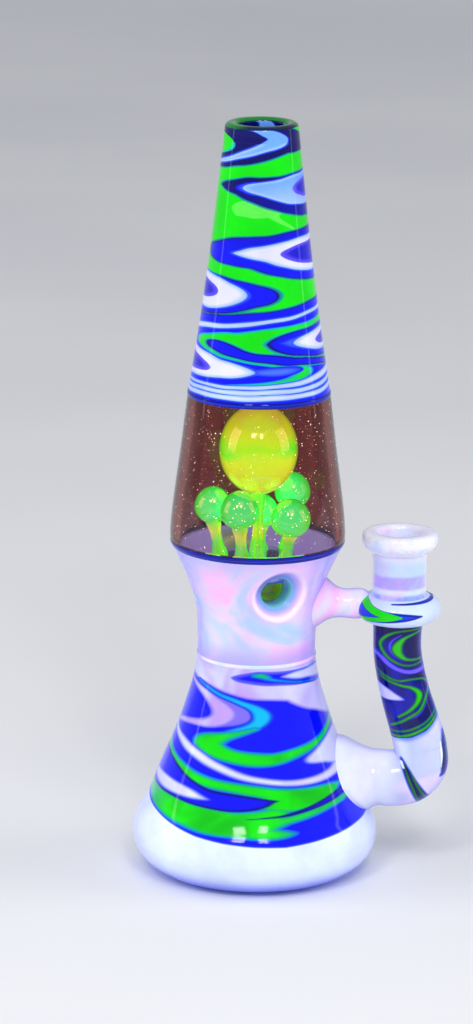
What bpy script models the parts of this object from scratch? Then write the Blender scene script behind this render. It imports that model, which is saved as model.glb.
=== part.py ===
"""Glass water pipe in the shape of a lava lamp, as the separate glass pieces that are fused to make it.

Frame: the body's axis is +Z, its flat foot stands on z = 0, and the side arm lies along +X.
Sizes are in millimetres and are turned into metres by MM where a mesh is made.
"""

import math

import bmesh
import bpy
from mathutils import Matrix, Vector

MM = 0.001
GAP = 0.3  # left between two fused pieces
WALL = 3.0  # body wall
SEGMENTS = 32  # sides of a large turned piece
ARM_SEGMENTS = 24  # sides of the arm's pieces
SCREW_MERGE = 1e-5

# Outer outline of the body: (height, radius), foot to mouth.
OUTLINE = (
    (0.0, 30.5),
    (2.0, 35.0),
    (6.0, 39.6),
    (12.5, 42.2),
    (20.0, 40.8),
    (25.0, 37.9),
    (29.0, 36.0),
    (34.0, 34.2),
    (40.0, 31.8),
    (50.0, 27.6),
    (60.0, 24.2),
    (70.0, 21.4),
    (78.0, 20.3),
    (88.0, 20.6),
    (97.0, 21.8),
    (105.0, 24.2),
    (113.0, 27.8),
    (117.0, 29.7),
    (121.0, 30.0),
    (130.0, 29.2),
    (150.0, 26.6),
    (168.0, 24.4),
    (190.0, 21.0),
    (215.0, 17.6),
    (240.0, 14.7),
    (262.0, 12.3),
)

# Heights where the body's sections meet.
FOOT_TOP = 26.0
BASE_TOP = 78.0
NECK_TOP = 115.6
WINDOW_TOP = 168.2
CONE_TOP = 256.5
HEIGHT = 262.0

FLOOR_RADIUS = 27.0
FLOOR_THICKNESS = 3.0
MOUTH_BORE = 8.2
TRIM_DEPTH = 1.0  # how far a trim ring is let into the wall
TRIM_STAND = 0.25  # how far it stands proud

# Side arm, as x and height from the body's axis and foot.
JOINT_X = 48.8
MARIA_Z = 94.5
MARIA_RADIUS = 14.4
MARIA_HALF_HEIGHT = 4.6
JOINT_TOP = 121.5
LIP_HEIGHT = 6.8
LIP_RADIUS = 13.0
JOINT_RADIUS = 9.3
SOCKET_MOUTH = 7.25  # 14.5 mm mouth, 1 in 10 taper
SOCKET_FOOT = 6.25
SOCKET_DEPTH = 20.0
PASSAGE = 5.5  # bore of the arm, elbow and inlet
ELBOW_Z = 33.5
ELBOW_RADIUS = 9.8
COLLAR_OUTER_X = 43.0
BRIDGE_Z = 95.5
ARM_PATH = (
    (48.8, 94.2),
    (48.5, 87.0),
    (48.6, 79.0),
    (50.0, 70.5),
    (52.1, 62.0),
    (54.8, 53.5),
    (57.0, 45.5),
    (57.0, 39.5),
    (53.8, 35.0),
    (48.5, 33.5),
    (43.3, 33.5),
)
ARM_SPANS = 6  # of the path's spans belong to the arm, and the rest to the elbow

# Cross tube through the neck.
SWISS_Z = 103.0
SWISS_TURN = math.radians(25.0)  # from -Y towards +X
SWISS_RADIUS = 6.2
SWISS_BORE = 4.9
SWISS_FLARE = 8.8
SWISS_FLARE_DEPTH = 9.0
LINER_HALF_LENGTH = 13.0

# Lava: (turn from -Y towards +X in degrees, distance from the axis, height, radius).
DROPS = (
    (-85.6, 15.4, 129.4, 6.4),
    (-28.0, 11.6, 130.0, 6.6),
    (62.2, 13.1, 126.6, 6.8),
    (178.0, 9.8, 124.9, 6.1),
    (139.8, 17.3, 131.7, 6.4),
)
BALL_Z = 149.0
BALL_RADIUS = 13.5
BALL_HALF_HEIGHT = 15.6
STEM_RADIUS = 3.0
BALL_STEM_RADIUS = 2.6
STEM_FOOT_SHARE = 0.82  # a stem's foot stands this share of its drop's distance from the axis
ROOT_TOP = 111.5
ROOT_BOTTOM = 104.5
ROOT_RADIUS = 15.5

SIDE_DIMPLE = (-80.0, 93.0, 9.0, 1.4)  # turn, height, ball radius, depth of the pressed dimple

COLOURS = {
    "white": ((0.92, 0.94, 1.0), 0.08),
    "wigwag": ((0.05, 0.12, 0.85), 0.06),
    "cobalt": ((0.01, 0.05, 0.75), 0.05),
    "opal": ((0.82, 0.76, 0.95), 0.08),
    "window": ((0.18, 0.05, 0.04), 0.04),
    "yellow": ((0.8, 0.85, 0.05), 0.1),
    "green": ((0.15, 0.8, 0.2), 0.1),
    "clear": ((0.85, 0.87, 0.98), 0.05),
    "pink": ((0.95, 0.75, 0.92), 0.08),
}


def radius_at(height):
    """Outer radius of the body at a height, on a smooth curve through OUTLINE."""
    last = len(OUTLINE) - 2
    i = max(0, min(last, sum(1 for z, _ in OUTLINE if z <= height) - 1))
    (z0, r0), (z1, r1) = OUTLINE[i], OUTLINE[i + 1]
    before = OUTLINE[max(i - 1, 0)]
    after = OUTLINE[min(i + 2, last + 1)]
    slope0 = (r1 - before[1]) / (z1 - before[0])
    slope1 = (after[1] - r0) / (after[0] - z0)
    span = z1 - z0
    t = (height - z0) / span
    return (
        (2 * t**3 - 3 * t**2 + 1) * r0
        + (t**3 - 2 * t**2 + t) * span * slope0
        + (3 * t**2 - 2 * t**3) * r1
        + (t**3 - t**2) * span * slope1
    )


def heights(low, high, count):
    """Evenly spaced heights from high to low."""
    return [high + (low - high) * i / count for i in range(count + 1)]


def smooth_path(points, steps):
    """A Catmull-Rom curve through points, with so many steps to each span."""
    knots = [Vector(p) for p in points]
    knots = [2 * knots[0] - knots[1], *knots, 2 * knots[-1] - knots[-2]]
    path = []
    for a, b, c, d in zip(knots, knots[1:], knots[2:], knots[3:]):
        for i in range(steps):
            t = i / steps
            path.append(
                0.5 * (2 * b + (c - a) * t + (2 * a - 5 * b + 4 * c - d) * t**2 + (3 * b - a - 3 * c + d) * t**3)
            )
    path.append(knots[-2])
    return path


def turned_axis(turn):
    """Unit vector at a turn from -Y towards +X, in radians."""
    return Vector((math.sin(turn), -math.cos(turn), 0.0))


def clear_scene():
    for obj in list(bpy.data.objects):
        bpy.data.objects.remove(obj)


def collection(name):
    made = bpy.data.collections.new(name)
    bpy.context.scene.collection.children.link(made)
    return made


def glass(name):
    """Principled material of one glass colour."""
    colour, roughness = COLOURS[name]
    made = bpy.data.materials.get(name) or bpy.data.materials.new(name)
    made.use_nodes = True
    shader = made.node_tree.nodes["Principled BSDF"]
    shader.inputs["Base Color"].default_value = (*colour, 1.0)
    shader.inputs["Roughness"].default_value = roughness
    shader.inputs["Metallic"].default_value = 0.0
    return made


def place(obj, where, parent, colour):
    where.objects.link(obj)
    obj.parent = parent
    if colour:
        obj.data.materials.append(glass(colour))
    else:
        obj.hide_render = True
        obj.display_type = "WIRE"
    return obj


def turned(name, profile, segments=SEGMENTS):
    """Object turned about its own Z from (radius, height) points that run down the outside."""
    mesh = bpy.data.meshes.new(name)
    points = [(r * MM, 0.0, z * MM) for r, z in profile]
    on_axis = profile[0][0] == 0 and profile[-1][0] == 0
    edges = [(i, i + 1) for i in range(len(points) - 1)]
    if not on_axis:
        edges.append((len(points) - 1, 0))
    mesh.from_pydata(points, edges, [])
    obj = bpy.data.objects.new(name, mesh)
    screw = obj.modifiers.new("turn", "SCREW")
    screw.steps = screw.render_steps = segments
    screw.use_merge_vertices = True
    screw.merge_threshold = SCREW_MERGE
    screw.use_smooth_shade = True
    return obj


def ball(name, radius, half_height, segments=16, rings=10):
    """Ellipsoid centred on its own origin."""
    mesh = bpy.data.meshes.new(name)
    bm = bmesh.new()
    bmesh.ops.create_uvsphere(bm, u_segments=segments, v_segments=rings, radius=1.0)
    bmesh.ops.scale(bm, vec=(radius * MM, radius * MM, half_height * MM), verts=bm.verts)
    bm.to_mesh(mesh)
    bm.free()
    mesh.shade_smooth()
    return bpy.data.objects.new(name, mesh)


def rod(name, start, end, radius, segments=14):
    """Straight round rod between two points."""
    start, end = Vector(start) * MM, Vector(end) * MM
    mesh = bpy.data.meshes.new(name)
    bm = bmesh.new()
    bmesh.ops.create_cone(
        bm,
        cap_ends=True,
        segments=segments,
        radius1=radius * MM,
        radius2=radius * MM,
        depth=(end - start).length,
    )
    bm.to_mesh(mesh)
    bm.free()
    mesh.set_sharp_from_angle(angle=math.radians(40.0))
    obj = bpy.data.objects.new(name, mesh)
    obj.location = (start + end) / 2
    obj.rotation_euler = (end - start).to_track_quat("Z", "Y").to_euler()
    return obj


def bent_rod(name, path, radii, where):
    """Round rod along a path, made from a curve, with a radius at each point."""
    curve = bpy.data.curves.new(name + "_curve", "CURVE")
    curve.dimensions = "3D"
    curve.bevel_depth = MM
    curve.bevel_resolution = 4
    curve.use_fill_caps = True
    spline = curve.splines.new("POLY")
    spline.points.add(len(path) - 1)
    for point, place_mm, radius in zip(spline.points, path, radii):
        point.co = (*(place_mm * MM), 1.0)
        point.radius = radius
    guide = bpy.data.objects.new(name + "_curve", curve)
    where.objects.link(guide)
    bpy.context.view_layer.update()
    graph = bpy.context.evaluated_depsgraph_get()
    mesh = bpy.data.meshes.new_from_object(guide.evaluated_get(graph))
    bm = bmesh.new()
    bm.from_mesh(mesh)
    bmesh.ops.remove_doubles(bm, verts=bm.verts, dist=SCREW_MERGE)
    bmesh.ops.recalc_face_normals(bm, faces=bm.faces)
    bm.to_mesh(mesh)
    bm.free()
    obj = bpy.data.objects.new(name, mesh)
    obj.matrix_world = guide.matrix_world
    bpy.data.objects.remove(guide)
    return obj


def cut(obj, cutter, operation="DIFFERENCE"):
    boolean = obj.modifiers.new(cutter.name, "BOOLEAN")
    boolean.operation = operation
    boolean.solver = "EXACT"
    boolean.object = cutter


def lie_along_x(obj, z):
    """Turns an object's Z axis on to +X, at a height over the foot."""
    obj.rotation_euler = (0.0, math.pi / 2, 0.0)
    obj.location = (0.0, 0.0, z * MM)


def lie_across_neck(obj):
    """Turns an object's Z axis on to the cross tube's axis."""
    obj.rotation_euler = turned_axis(SWISS_TURN).to_track_quat("Z", "Y").to_euler()
    obj.location = (0.0, 0.0, SWISS_Z * MM)


def shell_profile(low, high, count, wall=WALL):
    """Outer and inner wall of the body between two heights."""
    levels = heights(low, high, count)
    outer = [(radius_at(z), z) for z in levels]
    inner = [(radius_at(z) - wall, z) for z in reversed(levels)]
    return outer + inner


def recess(profile, low, high):
    """Lets a groove for a trim ring into a shell's outside, at one end of it."""
    floor = radius_at((low + high) / 2) - TRIM_DEPTH - GAP
    kept = [(r, z) for r, z in profile if not (low - 1e-6 <= z <= high + 1e-6 and r > floor)]
    top_down = [(floor, high), (floor, low)]
    if high >= max(z for _, z in profile) - 1e-6:
        edge = (radius_at(low - GAP), low - GAP)
        return [(floor, high), (floor, low - GAP), edge, *[p for p in kept if p != edge]]
    edge = (radius_at(high + GAP), high + GAP)
    outer = [p for p in kept if p[1] > high + GAP and p[0] > radius_at(p[1]) - WALL / 2]
    inner = [p for p in kept if p not in outer and p[0] < radius_at(p[1]) - WALL / 2]
    return [*outer, edge, (floor, high + GAP), *top_down[1:], *inner]


def trim_profile(low, high):
    """Half-round band let into the wall between two heights."""
    middle = (low + high) / 2
    outer = radius_at(middle) + TRIM_STAND
    inner = radius_at(middle) - TRIM_DEPTH
    edge = outer - TRIM_STAND
    return [
        (inner, high),
        (edge, high),
        (outer, middle),
        (edge, low),
        (inner, low),
    ]


def body_block(name, offset, low=0.0, high=WINDOW_TOP):
    """Solid inside the body's outline, grown by an offset, for cutting what is fused on to it."""
    levels = [z for z, _ in reversed(OUTLINE) if low < z < high]
    levels = [high, *levels, low]
    profile = [(0.0, high), *[(radius_at(z) + offset, z) for z in levels], (0.0, low)]
    return turned(name, profile)


def swiss_solid(name, offset, half_length):
    """Outside of the cross tube, flared at both ends."""
    reach = radius_at(SWISS_Z)
    throat = reach - SWISS_FLARE_DEPTH
    profile = [
        (0.0, half_length),
        (SWISS_FLARE + offset, half_length),
        (SWISS_FLARE + offset, reach),
        (SWISS_RADIUS + 0.9 + offset, reach - SWISS_FLARE_DEPTH / 2),
        (SWISS_RADIUS + offset, throat),
        (SWISS_RADIUS + offset, -throat),
        (SWISS_RADIUS + 0.9 + offset, -reach + SWISS_FLARE_DEPTH / 2),
        (SWISS_FLARE + offset, -reach),
        (SWISS_FLARE + offset, -half_length),
        (0.0, -half_length),
    ]
    return turned(name, profile, ARM_SEGMENTS)


def swiss_bore(name, half_length):
    """Hole through the cross tube, flared at both ends."""
    reach = radius_at(SWISS_Z)
    throat = reach - SWISS_FLARE_DEPTH
    flare = SWISS_FLARE - 1.2
    profile = [
        (0.0, half_length),
        (flare, half_length),
        (flare, reach),
        (SWISS_BORE + 0.8, reach - SWISS_FLARE_DEPTH / 2),
        (SWISS_BORE, throat),
        (SWISS_BORE, -throat),
        (SWISS_BORE + 0.8, -reach + SWISS_FLARE_DEPTH / 2),
        (flare, -reach),
        (flare, -half_length),
        (0.0, -half_length),
    ]
    return turned(name, profile, ARM_SEGMENTS)


def maria_profile(offset, inner):
    """D-shaped ring section: flat against the tube, round outside."""
    centre = 10.0
    width = MARIA_RADIUS - centre + offset
    height = MARIA_HALF_HEIGHT + offset
    arc = [math.radians(a) for a in range(90, -91, -30)]
    points = [(centre + width * math.cos(a), MARIA_Z + height * math.sin(a)) for a in arc]
    return [(inner, MARIA_Z + height), *points, (inner, MARIA_Z - height)]


def make_body(parts, cutters, parent):
    """The stacked sections of the body, foot to mouth."""
    foot = [(radius_at(z), z) for z in (FOOT_TOP - GAP / 2, 20.0, 16.0, 12.5, 8.5, 5.0, 2.0, 0.0)]
    lip = FLOOR_RADIUS + GAP
    foot += [(lip, 0.0), (lip, 3.3), (32.5, 4.6), (36.4, 7.2), (38.8, 12.5), (37.6, 20.0)]
    foot += [(radius_at(FOOT_TOP) - WALL, FOOT_TOP - GAP / 2)]
    place(turned("foot_ring", foot), parts, parent, "white")

    floor = [
        (0.0, FLOOR_THICKNESS),
        (FLOOR_RADIUS - 0.6, FLOOR_THICKNESS),
        (FLOOR_RADIUS, FLOOR_THICKNESS - 0.6),
        (FLOOR_RADIUS, 0.0),
        (0.0, 0.0),
    ]
    place(turned("base_floor", floor), parts, parent, "white")

    neck_trim = (76.5, BASE_TOP - GAP / 2)
    base = recess(shell_profile(FOOT_TOP + GAP / 2, BASE_TOP - GAP / 2, 6), *neck_trim)
    base = place(turned("base_wigwag_shell", base), parts, parent, "wigwag")
    inlet = rod("cut_inlet", (20.0, 0.0, ELBOW_Z), (46.0, 0.0, ELBOW_Z), PASSAGE, 20)
    cut(base, place(inlet, cutters, parent, None))
    place(turned("neck_trim_ring", trim_profile(*neck_trim)), parts, parent, "cobalt")

    neck = shell_profile(BASE_TOP + GAP / 2, NECK_TOP - GAP / 2, 6)
    neck = place(turned("neck_shell", neck), parts, parent, "opal")
    swiss_room = place(swiss_solid("cut_swiss", GAP, 34.0), cutters, parent, None)
    lie_across_neck(swiss_room)
    cut(neck, swiss_room)
    turn, height, press, depth = SIDE_DIMPLE
    dimple = place(ball("cut_dimple", press, press, 16, 10), cutters, parent, None)
    reach = radius_at(height) + press - depth
    dimple.location = turned_axis(math.radians(turn)) * reach * MM + Vector((0.0, 0.0, height * MM))
    cut(neck, dimple)

    lower_trim = (NECK_TOP + GAP / 2, 118.0)
    window = recess(shell_profile(lower_trim[0], WINDOW_TOP - GAP / 2, 6), *lower_trim)
    place(turned("window_shell", window), parts, parent, "window")
    place(turned("lower_trim_ring", trim_profile(*lower_trim)), parts, parent, "cobalt")

    upper_trim = (WINDOW_TOP + GAP / 2, 170.2)
    cone = recess(shell_profile(upper_trim[0], CONE_TOP - GAP / 2, 4), *upper_trim)
    place(turned("upper_wigwag_shell", cone), parts, parent, "wigwag")
    place(turned("upper_trim_ring", trim_profile(*upper_trim)), parts, parent, "cobalt")

    low = CONE_TOP + GAP / 2
    mouth = radius_at(HEIGHT)
    lip_profile = [
        (MOUTH_BORE + 0.9, HEIGHT),
        (mouth - 1.2, HEIGHT),
        (mouth - 0.2, HEIGHT - 0.9),
        (radius_at(259.5), 259.5),
        (radius_at(low), low),
        (radius_at(low) - WALL, low),
        (MOUTH_BORE, 259.0),
        (MOUTH_BORE, HEIGHT - 0.9),
    ]
    place(turned("mouthpiece_lip", lip_profile), parts, parent, "clear")
    return swiss_room


def make_swiss(parts, cutters, parent):
    """Cross tube through the neck, and the green sleeve in it."""
    tube = place(swiss_solid("swiss_tube", 0.0, 30.0), parts, parent, "clear")
    bore = place(swiss_bore("cut_swiss_bore", 34.0), cutters, parent, None)
    inside = place(body_block("cut_neck_outside", -0.05, 60.0, 140.0), cutters, parent, None)
    lie_across_neck(tube)
    lie_across_neck(bore)
    cut(tube, bore)
    cut(tube, inside, "INTERSECT")
    outer, inner = SWISS_BORE - GAP, SWISS_BORE - 1.1
    ends = LINER_HALF_LENGTH
    liner = [(inner, ends), (outer, ends), (outer, -ends), (inner, -ends)]
    lie_across_neck(place(turned("swiss_liner", liner, ARM_SEGMENTS), parts, parent, "green"))


def make_lava(parts, cutters, parent, swiss_room):
    """The lava: a root fused on the cross tube, and rods that carry drops and the large ball."""
    root = [
        (0.0, ROOT_TOP),
        (ROOT_RADIUS - 1.5, ROOT_TOP),
        (ROOT_RADIUS, ROOT_TOP - 2.0),
        (ROOT_RADIUS - 0.6, ROOT_BOTTOM + 2.0),
        (ROOT_RADIUS - 3.0, ROOT_BOTTOM),
        (0.0, ROOT_BOTTOM),
    ]
    root = place(turned("lava_root", root), parts, parent, "green")
    cut(root, swiss_room)

    large = place(ball("lava_ball", BALL_RADIUS, BALL_HALF_HEIGHT, 20, 12), parts, parent, "yellow")
    large.location = (0.0, 0.0, BALL_Z * MM)
    top = BALL_Z - BALL_HALF_HEIGHT - GAP
    stem = rod("lava_ball_stem", (0, 0, ROOT_TOP + GAP), (0, 0, top), BALL_STEM_RADIUS)
    place(stem, parts, parent, "green")

    for i, (turn, distance, height, radius) in enumerate(DROPS, 1):
        out = turned_axis(math.radians(turn)) * distance
        centre = out + Vector((0.0, 0.0, height))
        foot = out * STEM_FOOT_SHARE + Vector((0.0, 0.0, ROOT_TOP + GAP))
        drop = place(ball(f"lava_drop_{i}", radius, radius, 14, 8), parts, parent, "green")
        drop.location = centre * MM
        # The rod runs into the drop, and the drop's own shape, grown by the gap, ends it.
        rise = (centre - foot).normalized()
        stem = rod(f"lava_stem_{i}", foot + rise * 0.8, centre, STEM_RADIUS, 12)
        place(stem, parts, parent, "green")
        room = place(ball(f"cut_drop_{i}", radius + GAP, radius + GAP, 14, 8), cutters, parent, None)
        room.location = drop.location
        cut(stem, room)


def make_arm(parts, cutters, parent):
    """Side arm: inlet collar, elbow, arm, maria ring, bridge, socket and its lip."""
    body = place(body_block("cut_body", GAP), cutters, parent, None)

    steps = 2
    path = smooth_path([(x, 0.0, z) for x, z in ARM_PATH], steps)
    seam = ARM_SPANS * steps
    along = (path[seam + 1] - path[seam - 1]).normalized()
    arm_path = [*path[:seam], path[seam] - along, path[seam] - along * GAP / 2]
    end = Vector((COLLAR_OUTER_X + GAP, 0.0, ELBOW_Z))
    elbow_path = [path[seam] + along * GAP / 2, path[seam] + along, *path[seam + 1 : -1]]
    elbow_path += [end + Vector((1.0, 0.0, 0.0)), end]
    arm_radii = [9.2, 8.9, 8.4, 8.3, 8.3, 8.35, 8.4, 8.5, 8.6, 8.75, 8.9, 9.05, 9.2, 9.25]
    elbow_radii = [9.3, 9.4, *[ELBOW_RADIUS] * (len(elbow_path) - 2)]
    for name, route, radii, colour in (
        ("downstem_arm", arm_path, arm_radii, "wigwag"),
        ("inlet_elbow", elbow_path, elbow_radii, "white"),
    ):
        outside = place(bent_rod(name, route, radii, cutters), parts, parent, colour)
        first, last = (route[0] - route[1]).normalized(), (route[-1] - route[-2]).normalized()
        longer = [route[0] + first * 2, *route, route[-1] + last * 2]
        hole = bent_rod("cut_" + name, longer, [PASSAGE] * len(longer), cutters)
        cut(outside, place(hole, cutters, parent, None))

    collar = [
        (PASSAGE, COLLAR_OUTER_X),
        (ELBOW_RADIUS, COLLAR_OUTER_X),
        (10.4, 40.0),
        (11.8, 37.0),
        (13.8, 34.0),
        (14.6, 31.0),
        (14.6, 20.0),
        (PASSAGE, 20.0),
    ]
    collar = place(turned("inlet_collar", collar, ARM_SEGMENTS), parts, parent, "white")
    lie_along_x(collar, ELBOW_Z)
    cut(collar, body)

    at_joint = Vector((JOINT_X * MM, 0.0, 0.0))
    ring = place(turned("maria_ring", maria_profile(0.0, JOINT_RADIUS + GAP), ARM_SEGMENTS), parts, parent, "wigwag")
    ring.location = at_joint
    ring_room = place(turned("cut_maria", maria_profile(GAP, 2.0), ARM_SEGMENTS), cutters, parent, None)
    ring_room.location = at_joint

    bridge = [
        (0.0, 38.8),
        (3.6, 38.8),
        (5.0, 36.8),
        (5.3, 34.0),
        (5.0, 30.5),
        (5.5, 27.5),
        (7.0, 25.0),
        (9.2, 22.5),
        (9.2, 16.0),
        (0.0, 16.0),
    ]
    bridge = place(turned("bridge_strut", bridge, 20), parts, parent, "pink")
    lie_along_x(bridge, BRIDGE_Z)
    cut(bridge, body)
    cut(bridge, ring_room)

    lip_low = JOINT_TOP - LIP_HEIGHT
    socket_low = JOINT_TOP - SOCKET_DEPTH
    taper = (SOCKET_MOUTH - SOCKET_FOOT) / SOCKET_DEPTH
    at_lip = SOCKET_MOUTH - taper * LIP_HEIGHT
    tube = [
        (at_lip, lip_low - GAP),
        (JOINT_RADIUS, lip_low - GAP),
        (JOINT_RADIUS, MARIA_Z + GAP),
        (PASSAGE, MARIA_Z + GAP),
        (PASSAGE, socket_low - 1.0),
        (SOCKET_FOOT, socket_low),
    ]
    tube = place(turned("joint_tube", tube, ARM_SEGMENTS), parts, parent, "clear")
    tube.location = at_joint
    lip = [
        (SOCKET_MOUTH + 0.5, JOINT_TOP),
        (LIP_RADIUS - 1.0, JOINT_TOP),
        (LIP_RADIUS, JOINT_TOP - 1.0),
        (LIP_RADIUS, JOINT_TOP - 4.2),
        (LIP_RADIUS - 0.9, JOINT_TOP - 5.8),
        (LIP_RADIUS - 2.8, lip_low),
        (at_lip, lip_low),
        (SOCKET_MOUTH, JOINT_TOP - 0.5),
    ]
    lip = place(turned("joint_lip", lip, ARM_SEGMENTS), parts, parent, "clear")
    lip.location = at_joint


def main():
    clear_scene()
    parts = collection("lava_lamp_water_pipe")
    cutters = collection("cutters")
    axis = bpy.data.objects.new("body_axis", None)
    parts.objects.link(axis)
    axis.matrix_world = Matrix.Identity(4)
    swiss_room = make_body(parts, cutters, axis)
    make_swiss(parts, cutters, axis)
    make_lava(parts, cutters, axis, swiss_room)
    make_arm(parts, cutters, axis)


main()
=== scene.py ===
"""Looks of a glass water pipe shaped like a lava lamp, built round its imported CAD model.

Every piece is a fine mesh that replaces its CAD node, in the same frame: the body's axis is +Z, the foot
stands on z = 0 and the side arm lies along +X. Lengths are in millimetres until a mesh is made.
Turns are in degrees about the body's axis, from the front (the camera's side) towards the right.
"""

import math
import random

import bmesh
import bpy
import numpy as np
from mathutils import Matrix, Vector


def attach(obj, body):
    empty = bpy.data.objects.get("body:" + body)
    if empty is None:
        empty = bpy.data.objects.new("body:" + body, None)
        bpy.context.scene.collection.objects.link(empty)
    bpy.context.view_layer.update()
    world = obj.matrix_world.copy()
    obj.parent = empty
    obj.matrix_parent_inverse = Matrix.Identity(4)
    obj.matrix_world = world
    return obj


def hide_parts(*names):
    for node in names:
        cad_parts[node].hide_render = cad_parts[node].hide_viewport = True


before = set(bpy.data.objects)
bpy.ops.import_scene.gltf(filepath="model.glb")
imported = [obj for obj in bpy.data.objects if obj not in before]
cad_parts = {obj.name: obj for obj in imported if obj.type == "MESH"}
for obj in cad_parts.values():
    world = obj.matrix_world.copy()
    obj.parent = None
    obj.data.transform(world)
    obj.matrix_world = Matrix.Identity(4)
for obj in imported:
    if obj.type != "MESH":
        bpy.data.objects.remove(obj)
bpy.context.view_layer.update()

MM = 0.001
FRONT = 4.0  # turn of the front from -Y towards +X, which is where the camera stands
WALL = 3.0

# Outer outline of the body: (height, radius), foot to mouth.
OUTLINE = (
    (0.0, 30.5),
    (2.0, 35.0),
    (6.0, 39.6),
    (12.5, 42.2),
    (20.0, 40.8),
    (25.0, 37.9),
    (29.0, 36.0),
    (34.0, 34.2),
    (40.0, 31.8),
    (50.0, 27.6),
    (60.0, 24.2),
    (70.0, 21.4),
    (78.0, 20.3),
    (88.0, 20.6),
    (97.0, 21.8),
    (105.0, 24.2),
    (113.0, 27.8),
    (117.0, 29.7),
    (121.0, 30.0),
    (130.0, 29.2),
    (150.0, 26.6),
    (168.0, 24.4),
    (190.0, 21.0),
    (215.0, 17.6),
    (240.0, 14.7),
    (262.0, 12.3),
)
FOOT_TOP = 26.0
BASE_TOP = 78.0
NECK_TOP = 115.6
TRIM_TOP = 118.0
WINDOW_TOP = 168.2
UPPER_TRIM_TOP = 170.2
CONE_TOP = 256.5
HEIGHT = 262.0
MOUTH_BORE = 8.2

JOINT_X = 48.8
MARIA_Z = 94.5
MARIA_RADIUS = 14.4
MARIA_HALF_HEIGHT = 4.6
JOINT_TOP = 121.5
LIP_HEIGHT = 6.8
LIP_RADIUS = 13.0
JOINT_RADIUS = 9.3
SOCKET_MOUTH = 7.25
SOCKET_FOOT = 6.25
SOCKET_DEPTH = 20.0
PASSAGE = 5.5
ELBOW_Z = 33.5
ELBOW_RADIUS = 9.8
BRIDGE_Z = 95.5
ARM_TOP = 94.2
ARM_PATH = (
    (JOINT_X, ARM_TOP),
    (48.5, 87.0),
    (48.6, 79.0),
    (50.0, 70.5),
    (52.1, 62.0),
    (54.8, 53.5),
    (57.0, 45.5),
    (57.0, 39.5),
    (53.8, 35.0),
    (48.5, 33.5),
    (43.3, 33.5),
)
ARM_SPANS = 6  # of the path, from its top; the elbow has the rest
ARM_STEPS = 24  # to each span
ARM_STEEP_SPANS = 8  # where each height is passed once
ARM_FOOT_RADIUS = 9.2
ARM_RADII = (9.2, 8.9, 8.4, 8.3, 8.3, 8.35, 8.4, 8.5, 8.6, 8.75, 8.9, 9.05, ARM_FOOT_RADIUS)

SWISS_Z = 103.0
SWISS_TURN = 21.0  # of the cross tube from the front
SWISS_BORE = 4.9
SWISS_FLARE = 8.8
SWISS_DEPTH = 5.0
SWISS_RADIUS = 6.2
PINCH_Z = 93.0
PINCH_TURN = -80.0
PINCH_DEPTH = 1.3
PINCH_HEIGHT = 4.2
PINCH_WIDTH = 11.0  # in degrees

# Lava: (turn from the front, distance from the axis, height, radius).
DROPS = (
    (-89.6, 15.4, 129.4, 6.4),
    (-32.0, 11.6, 130.0, 6.6),
    (58.2, 13.1, 126.6, 6.8),
    (174.0, 9.8, 124.9, 6.1),
    (135.8, 17.3, 131.7, 6.4),
)
BALL_Z = 149.0
BALL_RADIUS = 13.5
BALL_HALF_HEIGHT = 15.6
STEM_RADIUS = 3.0
STEM_WAIST = 1.9
STEM_FOOT_SHARE = 0.82
ROOT_TOP = 111.5
ROOT_BOTTOM = 104.5
ROOT_RADIUS = 15.5
ROOT_ROUND = 2.4


def rgb(red, green, blue):
    """Linear colour of an 8-bit sRGB one."""
    out = []
    for value in (red, green, blue):
        v = value / 255
        out.append(v / 12.92 if v <= 0.04045 else ((v + 0.055) / 1.055) ** 2.4)
    return (*out, 1.0)


WELL_INSIDE = 5.0  # depth in a stroke, in millimetres
WELL_OUTSIDE = -9.0

GREEN = rgb(6, 216, 4)
BLUE = rgb(2, 10, 240)
NAVY = rgb(1, 2, 92)
TEAL = rgb(0, 190, 130)
WHITE = rgb(218, 218, 250)
PALE_BLUE = rgb(150, 185, 255)
VIOLET = rgb(92, 74, 244)


# ---------------------------------------------------------------- shapes


def radius_at(height):
    """Outer radius of the body at each height, on a smooth curve through OUTLINE."""
    z = np.array([p[0] for p in OUTLINE])
    r = np.array([p[1] for p in OUTLINE])
    slope = np.zeros_like(r)
    slope[1:-1] = (r[2:] - r[:-2]) / (z[2:] - z[:-2])
    slope[0] = (r[1] - r[0]) / (z[1] - z[0])
    slope[-1] = (r[-1] - r[-2]) / (z[-1] - z[-2])
    h = np.asarray(height, float)
    i = np.clip(np.searchsorted(z, h, side="right") - 1, 0, len(z) - 2)
    span = z[i + 1] - z[i]
    t = (h - z[i]) / span
    radius = (
        (2 * t**3 - 3 * t**2 + 1) * r[i]
        + (t**3 - 2 * t**2 + t) * span * slope[i]
        + (3 * t**2 - 2 * t**3) * r[i + 1]
        + (t**3 - t**2) * span * slope[i + 1]
    )
    return np.minimum(radius, r.max())


def smooth_path(points, steps):
    """A Catmull-Rom curve through rows of numbers, with so many steps to each span."""
    p = np.asarray(points, float)
    p = np.vstack([2 * p[0] - p[1], p, 2 * p[-1] - p[-2]])
    out = []
    for a, b, c, d in zip(p, p[1:], p[2:], p[3:]):
        for i in range(steps):
            t = i / steps
            bend = 2 * a - 5 * b + 4 * c - d
            twist = 3 * b - a - 3 * c + d
            out.append(0.5 * (2 * b + (c - a) * t + bend * t**2 + twist * t**3))
    out.append(p[-2])
    return np.array(out)


def smoothstep(low, high, value):
    t = np.clip((value - low) / (high - low), 0, 1)
    return t * t * (3 - 2 * t)


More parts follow.
